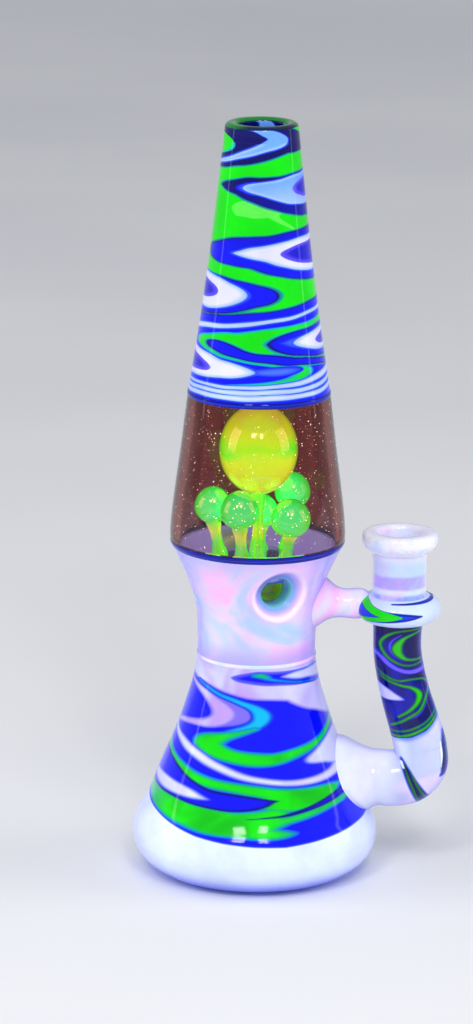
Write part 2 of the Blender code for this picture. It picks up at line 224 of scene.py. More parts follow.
def make_object(name, points, faces, smooth=True):
    mesh = bpy.data.meshes.new(name)
    mesh.from_pydata((np.asarray(points) * MM).tolist(), [], faces)
    mesh.validate()
    bm = bmesh.new()
    bm.from_mesh(mesh)
    bmesh.ops.recalc_face_normals(bm, faces=bm.faces)
    bm.to_mesh(mesh)
    bm.free()
    if smooth:
        mesh.shade_smooth()
        mesh.set_sharp_from_angle(angle=math.radians(50))
    obj = bpy.data.objects.new(name, mesh)
    bpy.context.scene.collection.objects.link(obj)
    return obj


def grid_faces(rows, columns, wrap_rows):
    faces = []
    for i in range(rows if wrap_rows else rows - 1):
        a, b = i * columns, ((i + 1) % rows) * columns
        for j in range(columns):
            k = (j + 1) % columns
            faces.append((a + j, a + k, b + k, b + j))
    return faces


def ringed(name, rings, wrap=False):
    """Mesh through rings of points. Wrapped rings close on themselves; otherwise both ends are capped."""
    rings = np.asarray(rings, float)
    rows, columns = rings.shape[:2]
    points = rings.reshape(-1, 3)
    faces = grid_faces(rows, columns, wrap)
    if not wrap:
        ends = np.array([rings[0].mean(0), rings[-1].mean(0)])
        first, last = len(points), len(points) + 1
        points = np.vstack([points, ends])
        for j in range(columns):
            k = (j + 1) % columns
            faces.append((first, k, j))
            faces.append((last, (rows - 1) * columns + j, (rows - 1) * columns + k))
    return make_object(name, points, faces)


def lathe(name, profile, columns, wrap=True):
    """Turned piece from (radius, height) points round a section, with +Z as its axis."""
    turn = np.radians(FRONT + np.arange(columns) * 360 / columns)
    profile = np.asarray(profile, float)
    rings = np.zeros((len(profile), columns, 3))
    rings[..., 0] = profile[:, :1] * np.sin(turn)
    rings[..., 1] = -profile[:, :1] * np.cos(turn)
    rings[..., 2] = profile[:, 1:]
    return ringed(name, rings, wrap)


def move(obj, x, y, z):
    obj.data.transform(Matrix.Translation((x * MM, y * MM, z * MM)))
    return obj


def corners(obj):
    """Every vertex of a piece, in millimetres."""
    co = np.zeros(len(obj.data.vertices) * 3)
    obj.data.vertices.foreach_get("co", co)
    return co.reshape(-1, 3) / MM


def turn_of(x, y):
    """Turn of each point from the front, from -180 to 180 degrees."""
    turn = np.degrees(np.arctan2(x, -y)) - FRONT
    return (turn + 180) % 360 - 180


def coordinates(obj):
    """Each vertex's turn from the front, height and distance from the axis, in degrees and millimetres."""
    x, y, z = corners(obj).T
    return turn_of(x, y), z, np.hypot(x, y)


def store(obj, name, values):
    """Keeps one number for each vertex, for the materials to read."""
    attribute = obj.data.attributes.new(name, "FLOAT", "POINT")
    attribute.data.foreach_set("value", np.asarray(values, np.float32))


def reach(turn, height, strokes, mm_per_degree, squeeze=0.3):
    """How deep each point lies inside a set of brush strokes, in millimetres, and negative outside them.

    A stroke is a row of (turn, height, half thickness) points. Distances along the turn count for less,
    as they do in glass that is swept round the axis.
    """
    scale = mm_per_degree * squeeze
    p = np.stack([turn * scale, height], 1)
    best = np.full(len(p), WELL_OUTSIDE)
    for stroke in strokes:
        knots = smooth_path(stroke, 5)
        xy = knots[:, :2] * (scale, 1.0)
        half = knots[:, 2]
        for a, b, ha, hb in zip(xy, xy[1:], half, half[1:]):
            span = b - a
            t = np.clip(((p - a) @ span) / max(span @ span, 1e-9), 0, 1)
            away = np.linalg.norm(p - a - t[:, None] * span, axis=1)
            best = np.maximum(best, ha + t * (hb - ha) - away)
    return best


def to_front(turn):
    """Turns behind the piece, mirrored on to its front half, where the strokes are drawn."""
    return np.where(np.abs(turn) > 90, np.sign(turn) * 180 - turn, turn)


def mirrored(turn, height, low, high, drift):
    """Carries a pattern that is drawn for the front half on round the back, drifting up as it goes."""
    fade = np.sin(np.pi * np.clip((height - low) / (high - low), 0, 1))
    return to_front(turn), height + drift * smoothstep(90, 150, np.abs(turn)) * fade


# ---------------------------------------------------------------- materials


def new_tree(name):
    material = bpy.data.materials.new(name)
    material.use_nodes = True
    tree = material.node_tree
    tree.nodes.clear()
    return material, tree


def add(tree, kind, inputs=None, **settings):
    """Adds a node. Inputs are constants or other nodes' sockets, by name or by number."""
    made = tree.nodes.new("ShaderNode" + kind)
    for key, value in settings.items():
        setattr(made, key, value)
    for key, value in (inputs or {}).items():
        if isinstance(value, bpy.types.NodeSocket):
            tree.links.new(value, made.inputs[key])
        else:
            made.inputs[key].default_value = value
    return made


def blend(tree, factor, first, second):
    made = add(tree, "Mix", {0: factor, 6: first, 7: second}, data_type="RGBA")
    return made.outputs[2]


def step(tree, value, low, high, out_low=0.0, out_high=1.0):
    inputs = {0: value, 1: low, 2: high, 3: out_low, 4: out_high}
    return add(tree, "MapRange", inputs, interpolation_type="SMOOTHSTEP").outputs[0]


def sums(tree, operation, first, second=0.0):
    return add(tree, "Math", {0: first, 1: second}, operation=operation).outputs[0]


def field(tree, name):
    return add(tree, "Attribute", attribute_name=name).outputs["Fac"]


def place(tree):
    return add(tree, "TexCoord").outputs["Object"]


def place_along(tree, axis):
    """How far a point lies along an axis of the model, in metres."""
    return add(tree, "SeparateXYZ", {0: place(tree)}).outputs[axis]


def cloud(tree, scale, detail=3.0, roughness=0.5, vector=None, distortion=0.0):
    inputs = {"Scale": scale, "Detail": detail, "Roughness": roughness, "Distortion": distortion}
    inputs["Vector"] = vector or place(tree)
    return add(tree, "TexNoise", inputs).outputs[0]


def streaks(tree, depth, fineness):
    """Fine lines that run along a stripe, from how deep a point lies in it."""
    x = sums(tree, "MULTIPLY", depth, fineness)
    wander = sums(tree, "MULTIPLY", cloud(tree, 90.0, 2.0), 1.6)
    vector = add(tree, "CombineXYZ", {0: x, 1: wander, 2: 0.0}).outputs[0]
    return cloud(tree, 1.0, 4.0, 0.6, vector)


SHADER_SOCKETS = {
    "ior": "IOR",
    "coat": "Coat Weight",
    "coat_rough": "Coat Roughness",
    "through": "Transmission Weight",
    "soft": "Subsurface Weight",
    "soft_scale": "Subsurface Scale",
    "metal": "Metallic",
    "specular": "Specular IOR Level",
}


def finish(material, tree, colour, bump=None, painted_glow=0.0, **constants):
    """Ends a material in a Principled shader with a polished, slightly uneven surface. Its glow is painted
    light: the glass shines by itself in the lit colour, though it is no lamp.
    """
    rough = constants.pop("rough", (0.04, 0.11))
    inputs = {"Base Color": colour}
    inputs["Roughness"] = step(tree, cloud(tree, 160.0, 4.0), 0.3, 0.7, *rough)
    ripple = cloud(tree, 70.0, 2.0)
    normal = add(tree, "Bump", {"Strength": 0.06, "Distance": 0.0006, "Height": ripple})
    if bump is not None:
        fine = {"Strength": 0.25, "Distance": 0.00012, "Height": bump, "Normal": normal.outputs[0]}
        normal = add(tree, "Bump", fine)
    inputs["Normal"] = normal.outputs[0]
    lit = constants.pop("lit", colour)
    if painted_glow:
        inputs["Emission Color"] = lit
        inputs["Emission Strength"] = painted_glow
    constants.setdefault("ior", 1.36)
    for key, value in constants.items():
        inputs[SHADER_SOCKETS[key]] = value
    shader = add(tree, "BsdfPrincipled", inputs)
    add(tree, "OutputMaterial", {0: shader.outputs[0]})
    return material


def uneven(tree, colour, amount, scale=60.0):
    """Colour with soft lighter and darker clouds in it."""
    shade = step(tree, cloud(tree, scale, 3.0), 0.3, 0.7, 1 - amount, 1 + amount * 0.4)
    hsv = add(tree, "HueSaturation", {"Value": shade, "Color": colour})
    return hsv.outputs[0]


def edge_shade_and_sheen(tree, colour, rim=rgb(118, 120, 255), amount=0.8):
    """Painted edge light: the colour turns to the rim colour where the glass is seen at a grazing angle, a
    bluer painted shade by default and a paler painted sheen where the rim colour is lighter.
    """
    facing = add(tree, "LayerWeight", {0: 0.5}).outputs["Facing"]
    return blend(tree, step(tree, facing, 0.35, 1.0, 0.0, amount), colour, rim)


def striped(name, base, layers, painted_glow=0.0, shade=None, soft=0.12, rim=0.0):
    """Opaque glass with swept stripes: layers of (field, fill, edge colour, edge width, dark border)."""
    material, tree = new_tree(name)
    colour = add(tree, "RGB").outputs[0]
    colour.default_value = base
    if shade:
        colour = shade(tree, colour)
    first_depth = None
    for attribute, fill, edge, width, dark in layers:
        depth = field(tree, attribute)
        first_depth = first_depth or depth
        lines = streaks(tree, depth, 2.2)
        if callable(fill):
            fill = fill(tree, depth)
        else:
            lit = blend(tree, 0.16, fill, (*[min(1.0, c * 1.6 + 0.05) for c in fill[:3]], 1.0))
            fill = blend(tree, step(tree, lines, 0.45, 0.7), fill, lit)
        if dark:
            fill = blend(tree, step(tree, depth, 0.1, dark), NAVY, fill)
        if edge:
            colour = blend(tree, step(tree, depth, -width, -width * 0.2), colour, edge)
        colour = blend(tree, step(tree, depth, -soft, soft), colour, fill)
    colour = uneven(tree, colour, 0.12)
    # The rim paints a bluer shade where the glass is seen at a grazing angle.
    if rim:
        colour = edge_shade_and_sheen(tree, colour, rgb(70, 80, 255), rim)
    bump = streaks(tree, first_depth, 1.2)
    return finish(material, tree, colour, bump, painted_glow, coat=0.15, coat_rough=0.03)


def ramp(tree, factor, stops):
    """Colours along a factor. Stops are (place, colour), with two ends first and then any between them."""
    made = add(tree, "ValToRGB", {0: factor})
    elements = made.color_ramp.elements
    for i, (where, colour) in enumerate(stops):
        element = elements[i] if i < 2 else elements.new(where)
        element.position = where
        element.color = colour
    return made.outputs[0]


def opal(name, stops, painted_glow=0.0):
    """Milky glass with drifting pearl colours. Stops are (place on the ramp, colour)."""
    material, tree = new_tree(name)
    drift = cloud(tree, 34.0, 3.0, 0.55, distortion=0.8)
    colour = uneven(tree, ramp(tree, step(tree, drift, 0.28, 0.72), stops), 0.05, 120.0)
    colour = edge_shade_and_sheen(tree, colour)
    return finish(material, tree, colour, None, painted_glow, coat=0.2, coat_rough=0.04, soft=0.25, soft_scale=0.004)


# ---------------------------------------------------------------- stripes

# Cone, drawn for the front half as (turn, height, half thickness).
CONE_BLUE = (
    (
        (-89, 255.0, 7.7), (-45, 255.8, 6.6), (0, 256.8, 5.2), (25, 257.4, 4.4), (45, 257.0, 3.7),
        (70, 256.2, 2.9), (89, 255.8, 2.5),
    ),
    (
        (-64, 241.7, 0.2), (-45, 241.9, 1.6), (-15, 241.9, 3.1), (0, 241.5, 3.9), (30, 240.4, 5.2),
        (60, 239.6, 6.6), (89, 239.1, 7.8),
    ),
    (
        (-70, 219.5, 0.2), (-60, 219.2, 2.0), (-45, 219.5, 3.5), (-15, 220.3, 4.8), (0, 220.4, 5.2),
        (30, 220.1, 6.3), (60, 219.3, 7.9), (89, 218.8, 9.0),
    ),
    (
        (5, 206.1, 0.2), (0, 206.0, 1.4), (-15, 206.0, 3.5), (-30, 206.0, 4.6), (-45, 205.8, 5.4),
        (-60, 205.4, 6.2), (-89, 204.9, 7.2),
    ),
    (
        (-89, 192.5, 5.0), (-60, 194.3, 3.5), (-30, 196.1, 3.0), (0, 197.4, 2.8), (30, 198.5, 2.9),
        (60, 199.5, 3.1), (89, 200.4, 3.2),
    ),
    ((-89, 180.0, 12.8), (0, 181.0, 12.8), (89, 183.0, 13.6)),
)
CONE_GREEN = (
    ((-89, 255.4, 3.4), (-75, 255.6, 2.9), (-66, 255.7, 1.8), (-60, 255.7, 0.4)),
    (
        (89, 196.1, 0.95), (60, 195.6, 0.75), (30, 194.6, 1.0), (15, 193.8, 1.2), (0, 192.6, 1.8),
        (-15, 191.5, 2.0), (-30, 191.8, 1.3), (-45, 190.6, 1.4), (-60, 189.3, 1.5), (-66, 188.5, 1.0),
        (-60, 187.6, 0.7), (-45, 186.2, 0.5), (-30, 185.0, 0.4), (0, 183.6, 0.35), (15, 182.9, 0.4),
        (30, 181.9, 0.6), (39, 181.1, 0.8), (42, 179.9, 0.9), (38, 178.8, 0.8), (25, 177.6, 0.55),
        (0, 176.4, 0.35), (-25, 175.8, 0.2),
    ),
    (
        (-24, 190.0, 1.8), (-12, 189.6, 2.3), (0, 188.7, 1.8), (15, 187.0, 0.8), (30, 185.7, 0.55),
        (45, 184.9, 0.45), (60, 184.0, 0.4), (89, 182.7, 0.35),
    ),
)
CONE_OVER = (
    (
        (7, 189.9, 0.1), (15, 190.0, 0.9), (30, 189.9, 2.3), (45, 189.8, 3.7), (60, 189.6, 4.8),
        (89, 189.1, 5.7),
    ),
    (
        (-54, 189.0, 0.2), (-46, 188.8, 1.2), (-40, 188.4, 1.6), (-34, 187.8, 1.6), (-24, 186.7, 1.45),
        (-12, 185.9, 1.35), (0, 185.4, 1.4), (15, 184.75, 1.35), (30, 183.8, 1.25), (50, 183.0, 1.1),
        (89, 181.0, 1.0),
    ),
)
CONE_WHITE = (
    (
        (-89, 248.9, 0.5), (-50, 250.9, 0.6), (-20, 253.4, 0.9), (0, 254.9, 1.2), (15, 256.1, 1.5),
        (26, 257.4, 1.7), (22, 258.9, 1.4), (8, 260.2, 1.1), (-12, 261.4, 0.7), (-40, 262.0, 0.4),
    ),
    (
        (-22, 241.6, 0.2), (-15, 241.7, 1.0), (0, 241.7, 1.95), (30, 241.3, 3.3), (60, 240.8, 4.8),
        (89, 240.7, 5.6),
    ),
    (
        (-31, 219.9, 0.2), (-22, 219.9, 0.8), (-15, 219.9, 1.2), (0, 220.1, 2.1), (30, 220.0, 3.6),
        (60, 219.4, 5.2), (89, 218.8, 6.3),
    ),
    (
        (-28, 206.3, 0.2), (-32, 206.2, 1.3), (-45, 206.1, 3.1), (-60, 205.9, 4.5), (-75, 205.8, 5.6),
        (-89, 205.8, 6.3),
    ),
    (
        (89, 199.9, 0.75), (60, 199.4, 0.5), (30, 198.3, 0.5), (0, 197.0, 0.55), (-30, 195.6, 0.65),
        (-60, 194.3, 0.75), (-89, 193.0, 0.8),
    ),
    ((36, 189.9, 0.2), (45, 189.8, 1.2), (60, 189.9, 2.5), (75, 189.7, 3.4), (89, 189.5, 3.9)),
    (
        (-6, 180.3, 0.2), (-15, 180.4, 1.1), (-30, 180.6, 2.3), (-45, 180.9, 3.0), (-60, 181.0, 3.7),
        (-77, 181.4, 4.6), (-89, 181.5, 5.0),
    ),
    (
        (-89, 174.6, 0.35), (-30, 175.2, 0.5), (0, 175.5, 0.55), (30, 176.2, 0.7), (60, 177.4, 0.9),
        (89, 178.8, 1.0),
    ),
    ((-89, 173.0, 0.5), (-45, 173.4, 0.65), (0, 173.8, 0.7), (45, 174.3, 0.7), (89, 175.8, 0.55)),
    ((-89, 171.4, 0.6), (-45, 171.6, 0.75), (0, 171.9, 0.85), (45, 172.2, 0.75), (89, 173.2, 0.6)),
)
CONE_INNER = (
    ((56, 241.5, 0.2), (65, 241.3, 1.8), (75, 241.0, 2.8), (89, 240.9, 3.7)),
    ((28, 219.9, 0.2), (35, 219.9, 1.2), (45, 219.8, 2.1), (60, 219.4, 3.1), (89, 218.8, 4.3)),
    ((-56, 206.2, 0.2), (-65, 206.3, 1.4), (-75, 206.3, 2.6), (-89, 206.3, 3.6)),
    ((69, 189.7, 0.2), (76, 189.6, 1.3), (89, 189.4, 2.3)),
    ((-50, 180.2, 0.2), (-58, 180.5, 1.0), (-68, 180.9, 2.0), (-89, 181.3, 3.2)),
)
CONE_HAZE = (
    ((-8, 180.2, 0.8), (5, 180.5, 1.5), (18, 180.8, 1.8), (30, 180.9, 1.2), (35, 180.7, 0.4)),
    ((20, 190.0, 0.5), (30, 190.0, 1.2), (40, 189.9, 2.0), (50, 189.8, 2.4), (60, 189.8, 2.8)),
    ((-24, 241.7, 1.2), (-14, 241.7, 1.8), (0, 241.6, 2.6)),
)
CONE_PALE = (
    (
        (-28, 232.9, 0.6), (-20, 234.0, 1.7), (-8, 235.0, 3.0), (5, 234.4, 2.4), (12, 233.2, 1.0),
        (22, 231.0, 0.5), (45, 227.4, 0.2),
    ),
)

# Base.
BASE_LILAC = (
    (
        (-89, 76.0, 3.2), (-70, 74.9, 4.6), (-50, 74.2, 4.6), (-30, 73.4, 5.2), (0, 72.4, 6.0),
        (30, 71.6, 6.2), (50, 70.4, 6.4), (62, 67.4, 6.2), (72, 63.9, 4.6), (89, 61.0, 4.2),
    ),
    ((-89, 79.0, 3.0), (0, 79.0, 3.6), (89, 79.0, 4.0)),
    (
        (-82, 69.2, 0.5), (-68, 68.2, 0.8), (-50, 66.3, 1.3), (-37, 64.1, 1.7), (-28, 61.4, 2.2),
        (-31, 58.9, 1.9), (-43, 57.1, 1.5), (-60, 56.0, 1.1), (-77, 54.9, 0.9), (-89, 53.8, 0.7),
    ),
)
BASE_VIOLET = (
    (
        (-50, 66.6, 0.4), (-30, 65.4, 1.0), (-17, 63.6, 1.6), (-11, 61.4, 1.9), (-14, 59.4, 1.6),
        (-26, 57.8, 1.1), (-44, 56.8, 0.6),
    ),
)
BASE_LENS = (
    (
        (-24, 73.3, 0.2), (-15, 73.3, 1.3), (0, 73.4, 2.2), (15, 73.2, 2.5), (30, 73.0, 2.6),
        (60, 72.4, 2.7), (89, 71.4, 2.8),
    ),
)
BASE_CYAN = (
    (
        (-64, 69.9, 0.3), (-45, 68.0, 0.5), (-30, 66.6, 0.6), (-15, 65.3, 0.75), (-2, 63.7, 1.0),
        (5, 61.4, 1.4), (3, 58.9, 1.2), (-5, 56.9, 1.1), (-18, 55.0, 1.1),
    ),
    ((-3, 74.0, 0.2), (3, 74.3, 0.7), (10, 73.3, 0.5), (25, 72.1, 0.35), (45, 71.0, 0.25), (70, 70.0, 0.2)),
    ((-20, 29.8, 0.3), (-4, 28.3, 0.35), (10, 28.8, 0.3), (30, 30.6, 0.25)),
)
BASE_GREEN = (
    (
        (0, 56.8, 0.2), (-12, 55.2, 0.5), (-24, 53.8, 1.0), (-33, 52.4, 1.7), (-37, 50.8, 2.2),
        (-31, 49.2, 2.1), (-20, 48.0, 1.9), (-8, 47.2, 1.9), (5, 46.9, 1.8), (15, 47.1, 1.5),
        (30, 48.4, 1.1), (45, 50.0, 0.8), (60, 51.9, 0.75), (72, 53.9, 0.7), (89, 56.5, 0.6),
    ),
    ((-1, 74.3, 0.15), (5, 74.2, 0.45), (11, 73.6, 0.2)),
    (
        (-89, 46.6, 0.7), (-73, 43.9, 1.0), (-60, 41.9, 1.2), (-45, 39.8, 1.4), (-30, 38.5, 1.3),
        (-15, 37.9, 1.3), (0, 36.9, 1.5), (15, 36.0, 1.5), (30, 35.8, 1.1), (45, 35.8, 0.9),
        (57, 35.7, 0.3),
    ),
    ((57, 35.7, 0.3), (50, 35.3, 1.1), (44, 34.8, 1.9), (36, 34.2, 2.6), (28, 33.8, 3.1), (21, 33.6, 3.5)),
    (
        (-89, 31.0, 1.6), (-73, 29.9, 2.1), (-60, 28.9, 2.7), (-45, 27.8, 3.2), (-30, 26.9, 3.6),
        (-18, 26.3, 3.8), (-8, 26.4, 3.6), (2, 27.8, 2.6), (10, 29.4, 1.6),
    ),
    ((-10, 24.8, 2.3), (2, 23.9, 1.7), (11, 23.4, 1.1), (18, 23.3, 0.3)),
    (
        (-8, 26.6, 1.2), (8, 26.6, 1.2), (15, 27.2, 0.9), (30, 28.5, 0.8), (45, 30.1, 0.65),
        (60, 31.2, 0.5), (72, 32.0, 0.35), (89, 33.0, 0.3),
    ),
)
BASE_BLUE = (
    (
        (13, 33.7, 0.2), (6, 33.5, 1.0), (-1, 33.1, 1.9), (-15, 33.0, 2.8), (-30, 33.5, 3.0),
        (-45, 34.5, 3.5), (-60, 35.9, 4.3), (-73, 37.2, 5.1), (-89, 38.5, 6.2),
    ),
    (
        (-4, 28.1, 0.12), (8, 28.5, 0.3), (16, 28.8, 0.4), (30, 30.1, 0.65), (45, 31.8, 0.95),
        (60, 33.4, 1.0), (89, 35.0, 1.2),
    ),
)
BASE_WHITE = (
    ((26, 73.6, 0.2), (35, 73.6, 0.9), (45, 73.6, 1.4), (60, 73.3, 1.7), (75, 72.8, 2.0), (89, 72.2, 2.2)),
    (
        (-89, 52.6, 0.7), (-73, 50.4, 0.9), (-60, 48.8, 1.1), (-45, 46.7, 1.2), (-30, 44.5, 1.1),
        (-15, 42.3, 1.0), (0, 40.6, 0.95), (15, 39.6, 0.9), (30, 39.0, 1.0), (45, 39.2, 1.1),
        (60, 40.3, 1.4), (75, 42.5, 2.2), (89, 45.0, 3.0),
    ),
    ((38, 45.3, 0.3), (45, 45.5, 1.6), (60, 46.2, 3.2), (75, 46.6, 5.0), (89, 46.6, 6.6)),
    (
        (-84, 35.5, 1.3), (-70, 34.9, 1.9), (-57, 34.5, 2.0), (-45, 34.1, 1.6), (-36, 33.7, 0.9),
        (-29, 33.4, 0.2),
    ),
)
# Top edge of the white foot: (turn, height).
FOOT_EDGE = (
    (-180, 24.0),
    (-135, 26.5),
    (-90, 28.0),
    (-60, 24.8),
    (-45, 23.0),
    (-30, 21.3),
    (-15, 20.2),
    (0, 19.5),
    (15, 19.2),
    (30, 20.0),
    (45, 21.0),
    (60, 22.0),
    (90, 23.5),
    (135, 22.0),
    (180, 24.0),
)

# Arm, as (turn round its own tube from the front, length up from the body's foot level, half thickness).
ARM_GREEN = (
    (
        (89, 88.5, 0.3), (48, 88.4, 0.35), (0, 88.0, 0.4), (-31, 86.0, 0.45), (-46, 83.1, 0.5),
        (-31, 79.6, 0.45), (-4, 76.9, 0.4), (29, 75.8, 0.35), (89, 77.0, 0.3),
    ),
    (
        (60, 87.4, 0.4), (20, 85.9, 0.5), (3, 83.8, 0.85), (-2, 81.7, 1.05), (5, 79.6, 0.8),
        (25, 77.9, 0.5), (75, 77.6, 0.35),
    ),
    (
        (-89, 74.6, 0.35), (-60, 73.5, 0.35), (-38, 71.9, 0.4), (-8, 70.6, 0.4), (25, 71.0, 0.4),
        (60, 70.5, 0.4), (78, 68.0, 0.45), (52, 64.2, 0.4), (26, 60.2, 0.4), (-2, 57.9, 0.4),
        (-29, 55.8, 0.4), (-60, 54.0, 0.4),
    ),
    (
        (-60, 72.0, 0.35), (-30, 70.2, 0.45), (-2, 68.9, 0.5), (22, 68.0, 0.6), (36, 65.8, 0.8),
        (24, 62.7, 0.6), (0, 60.0, 0.45), (-30, 57.6, 0.4),
    ),
    (
        (-70, 50.2, 0.45), (-40, 50.6, 0.5), (-13, 51.6, 0.5), (25, 54.0, 0.45), (55, 56.6, 0.4),
        (89, 59.2, 0.4),
    ),
    (
        (-70, 52.0, 0.3), (-40, 52.3, 0.35), (-13, 53.2, 0.35), (25, 55.5, 0.3), (55, 58.0, 0.3),
        (89, 60.6, 0.3),
    ),
)
ARM_VIOLET = (
    ((8, 86.9, 0.25), (-14, 84.6, 0.35), (-19, 82.2, 0.4), (-10, 79.8, 0.35), (10, 77.7, 0.25)),
    ((-89, 80.5, 0.8), (-50, 79.0, 0.9), (-23, 76.2, 0.8), (0, 74.4, 0.8), (29, 73.6, 0.9), (89, 74.4, 0.9)),
    ((64, 66.5, 0.5), (48, 63.0, 0.5), (20, 58.9, 0.4), (-10, 57.0, 0.3)),
)
ARM_PALE = (
    ((-89, 66.6, 3.2), (-60, 65.8, 2.6), (-40, 65.1, 1.9), (-18, 64.4, 1.0), (-4, 63.9, 0.25)),
)
ARM_NAVY = (
    ((64.5, 52.0, 0.3), (65.6, 48.0, 1.5), (65.9, 43.0, 1.9), (65.2, 38.0, 1.0), (64.0, 36.5, 0.3)),
    ((50.2, 42.6, 0.2), (51.6, 39.5, 0.9), (54.4, 34.0, 1.6), (57.4, 28.6, 2.1), (59.2, 25.6, 2.2)),
)
# Dark lines on the elbow, seen square to the arm's plane, as (distance from the body's axis, height,
# half thickness).
ELBOW_GREEN = (
    ((51.0, 41.6, 0.15), (52.2, 37.5, 0.35), (54.4, 32.0, 0.45), (56.4, 26.6, 0.45)),
    ((53.0, 39.6, 0.15), (55.6, 34.0, 0.4), (58.2, 29.4, 0.5), (60.0, 27.0, 0.4)),
    ((65.2, 49.5, 0.15), (66.0, 45.0, 0.35), (66.2, 41.0, 0.15)),
)
# Painted highlights on the elbow, in the same columns.
ELBOW_WHITE = (
    ((50.2, 41.4, 0.5), (51.0, 39.6, 0.35)), ((63.6, 48.5, 0.2), (64.1, 44.0, 0.4), (64.0, 39.5, 0.2)),
)
# Slanted top edge of the pale elbow: (turn, length).
ELBOW_EDGE = (
    (-180, 54.0), (-90, 49.4), (-57, 49.5), (-13, 50.6), (25, 53.0), (60, 56.4), (90, 58.6), (135, 58.0),
    (180, 54.0),
)

# Maria ring, as (turn round the socket from the front, arc length over its outer edge, half thickness).
MARIA_BLUE = (
    ((31, 0.1, 0.15), (15, 0.0, 0.9), (0, -0.1, 1.4), (-20, -0.2, 1.9), (-45, 0.0, 2.6), (-85, 0.5, 4.2)),
    ((-12, 5.0, 0.2), (20, 5.2, 0.45), (50, 5.4, 0.6), (85, 5.8, 0.5)),
)
MARIA_GREEN = (
    ((3, 0.0, 0.2), (-10, 0.3, 0.8), (-30, 1.1, 1.1), (-48, 2.4, 1.1), (-64, 4.0, 1.2), (-85, 5.2, 1.2)),
    ((3, 0.0, 0.2), (-15, -0.7, 0.7), (-35, -1.4, 0.8), (-60, -2.2, 0.8), (-85, -2.8, 0.8)),
)


def stripes(obj, low, high, drift, sets, mm_per_degree, squeeze=0.3):
    """Stores how deep each vertex lies in each set of strokes, on a pattern that goes on round the back."""
    turn, z, _ = coordinates(obj)
    turn, z = mirrored(turn, z, low, high, drift)
    waver = 0.1 * np.sin(np.radians(turn) * 5 + z * 0.31) + 0.05 * np.sin(np.radians(turn) * 11 - z * 0.53)
    for name, strokes in sets.items():
        store(obj, name, reach(turn, z + waver, strokes, mm_per_degree, squeeze))


def edge_depth(turn, height, line):
    """Height over a wavy line of (turn, height) points."""
    t = np.array([p[0] for p in line], float)
    h = np.array([p[1] for p in line], float)
    return height - np.interp(turn, t, h)


def shell_section(low, high, step_mm, floor_radius=0.0):
    """Section of a body wall between two heights: up the outside and down the inside."""
    z = np.linspace(low, high, max(3, int(round((high - low) / step_mm)) + 1))
    outer = np.stack([radius_at(z), z], 1)
    inner_z = z[:: max(1, len(z) // 14)] if len(z) > 30 else z
    inner_z = np.unique(np.append(inner_z, z[-1]))[::-1]
    inner = np.stack([np.maximum(radius_at(inner_z) - WALL, floor_radius), inner_z], 1)
    return np.vstack([outer, inner])


CONE_SETS = {
    "blue": CONE_BLUE,
    "green": CONE_GREEN,
    "over": CONE_OVER,
    "haze": CONE_HAZE,
    "white": CONE_WHITE,
    "inner": CONE_INNER,
    "pale": CONE_PALE,
}
BASE_SETS = {
    "violet": BASE_VIOLET,
    "lilac": BASE_LILAC,
    "lens": BASE_LENS,
    "cyan": BASE_CYAN,
    "green": BASE_GREEN,
    "blue": BASE_BLUE,
    "white": BASE_WHITE,
}


def graded(dark, light, low, high):
    """A fill that turns from one colour at a stripe's edge to another in its middle."""
    return lambda tree, depth: blend(tree, step(tree, depth, low, high), dark, light)


def pale_by_height(edge, low_colour, high_colour, low, high):
    """Like by_height, with an edge colour at the stripe's border."""
    inner = by_height(low_colour, high_colour, low, high)
    return lambda tree, depth: blend(tree, step(tree, depth, 0.0, 1.1), edge, inner(tree, depth))


def milky(edge, colour, light, warm, reach_mm):
    """A fill that clouds over in its middle, from an edge colour."""

    def fill(tree, depth):
        clouds = cloud(tree, 42.0, 2.0, 0.5, distortion=0.9)
        middle = blend(tree, step(tree, clouds, 0.4, 0.62), colour, light)
        middle = blend(tree, step(tree, clouds, 0.56, 0.3, 0.0, 0.7), middle, warm)
        return blend(tree, step(tree, depth, 0.0, reach_mm), edge, middle)

    return fill


def by_height(low_colour, high_colour, low, high):
    """A fill that turns from one colour to another as the height grows."""

    def fill(tree, depth):
        z = place_along(tree, "Z")
        return blend(tree, step(tree, z, low * MM, high * MM), low_colour, high_colour)

    return fill


def cone_material():
    white = pale_by_height(PALE_BLUE, WHITE, rgb(104, 160, 255), 222.0, 246.0)
    layers = (
        ("pale", rgb(84, 222, 70), None, 0, 0),
        ("blue", by_height(BLUE, NAVY, 212.0, 246.0), rgb(0, 120, 150), 0.7, 0.5),
        ("green", graded(TEAL, GREEN, 0.0, 0.8), rgb(0, 150, 200), 0.4, 0),
        ("over", graded(NAVY, BLUE, 0.0, 0.8), rgb(0, 150, 170), 0.5, 0),
        ("haze", graded(BLUE, rgb(70, 112, 244), 0.0, 1.6), None, 0, 0),
        ("white", white, rgb(40, 80, 250), 0.6, 0),
        ("inner", graded(VIOLET, rgb(20, 20, 200), 0.1, 1.4), None, 0, 0),
    )
    return striped("cone_stripes", GREEN, layers, 0.12)


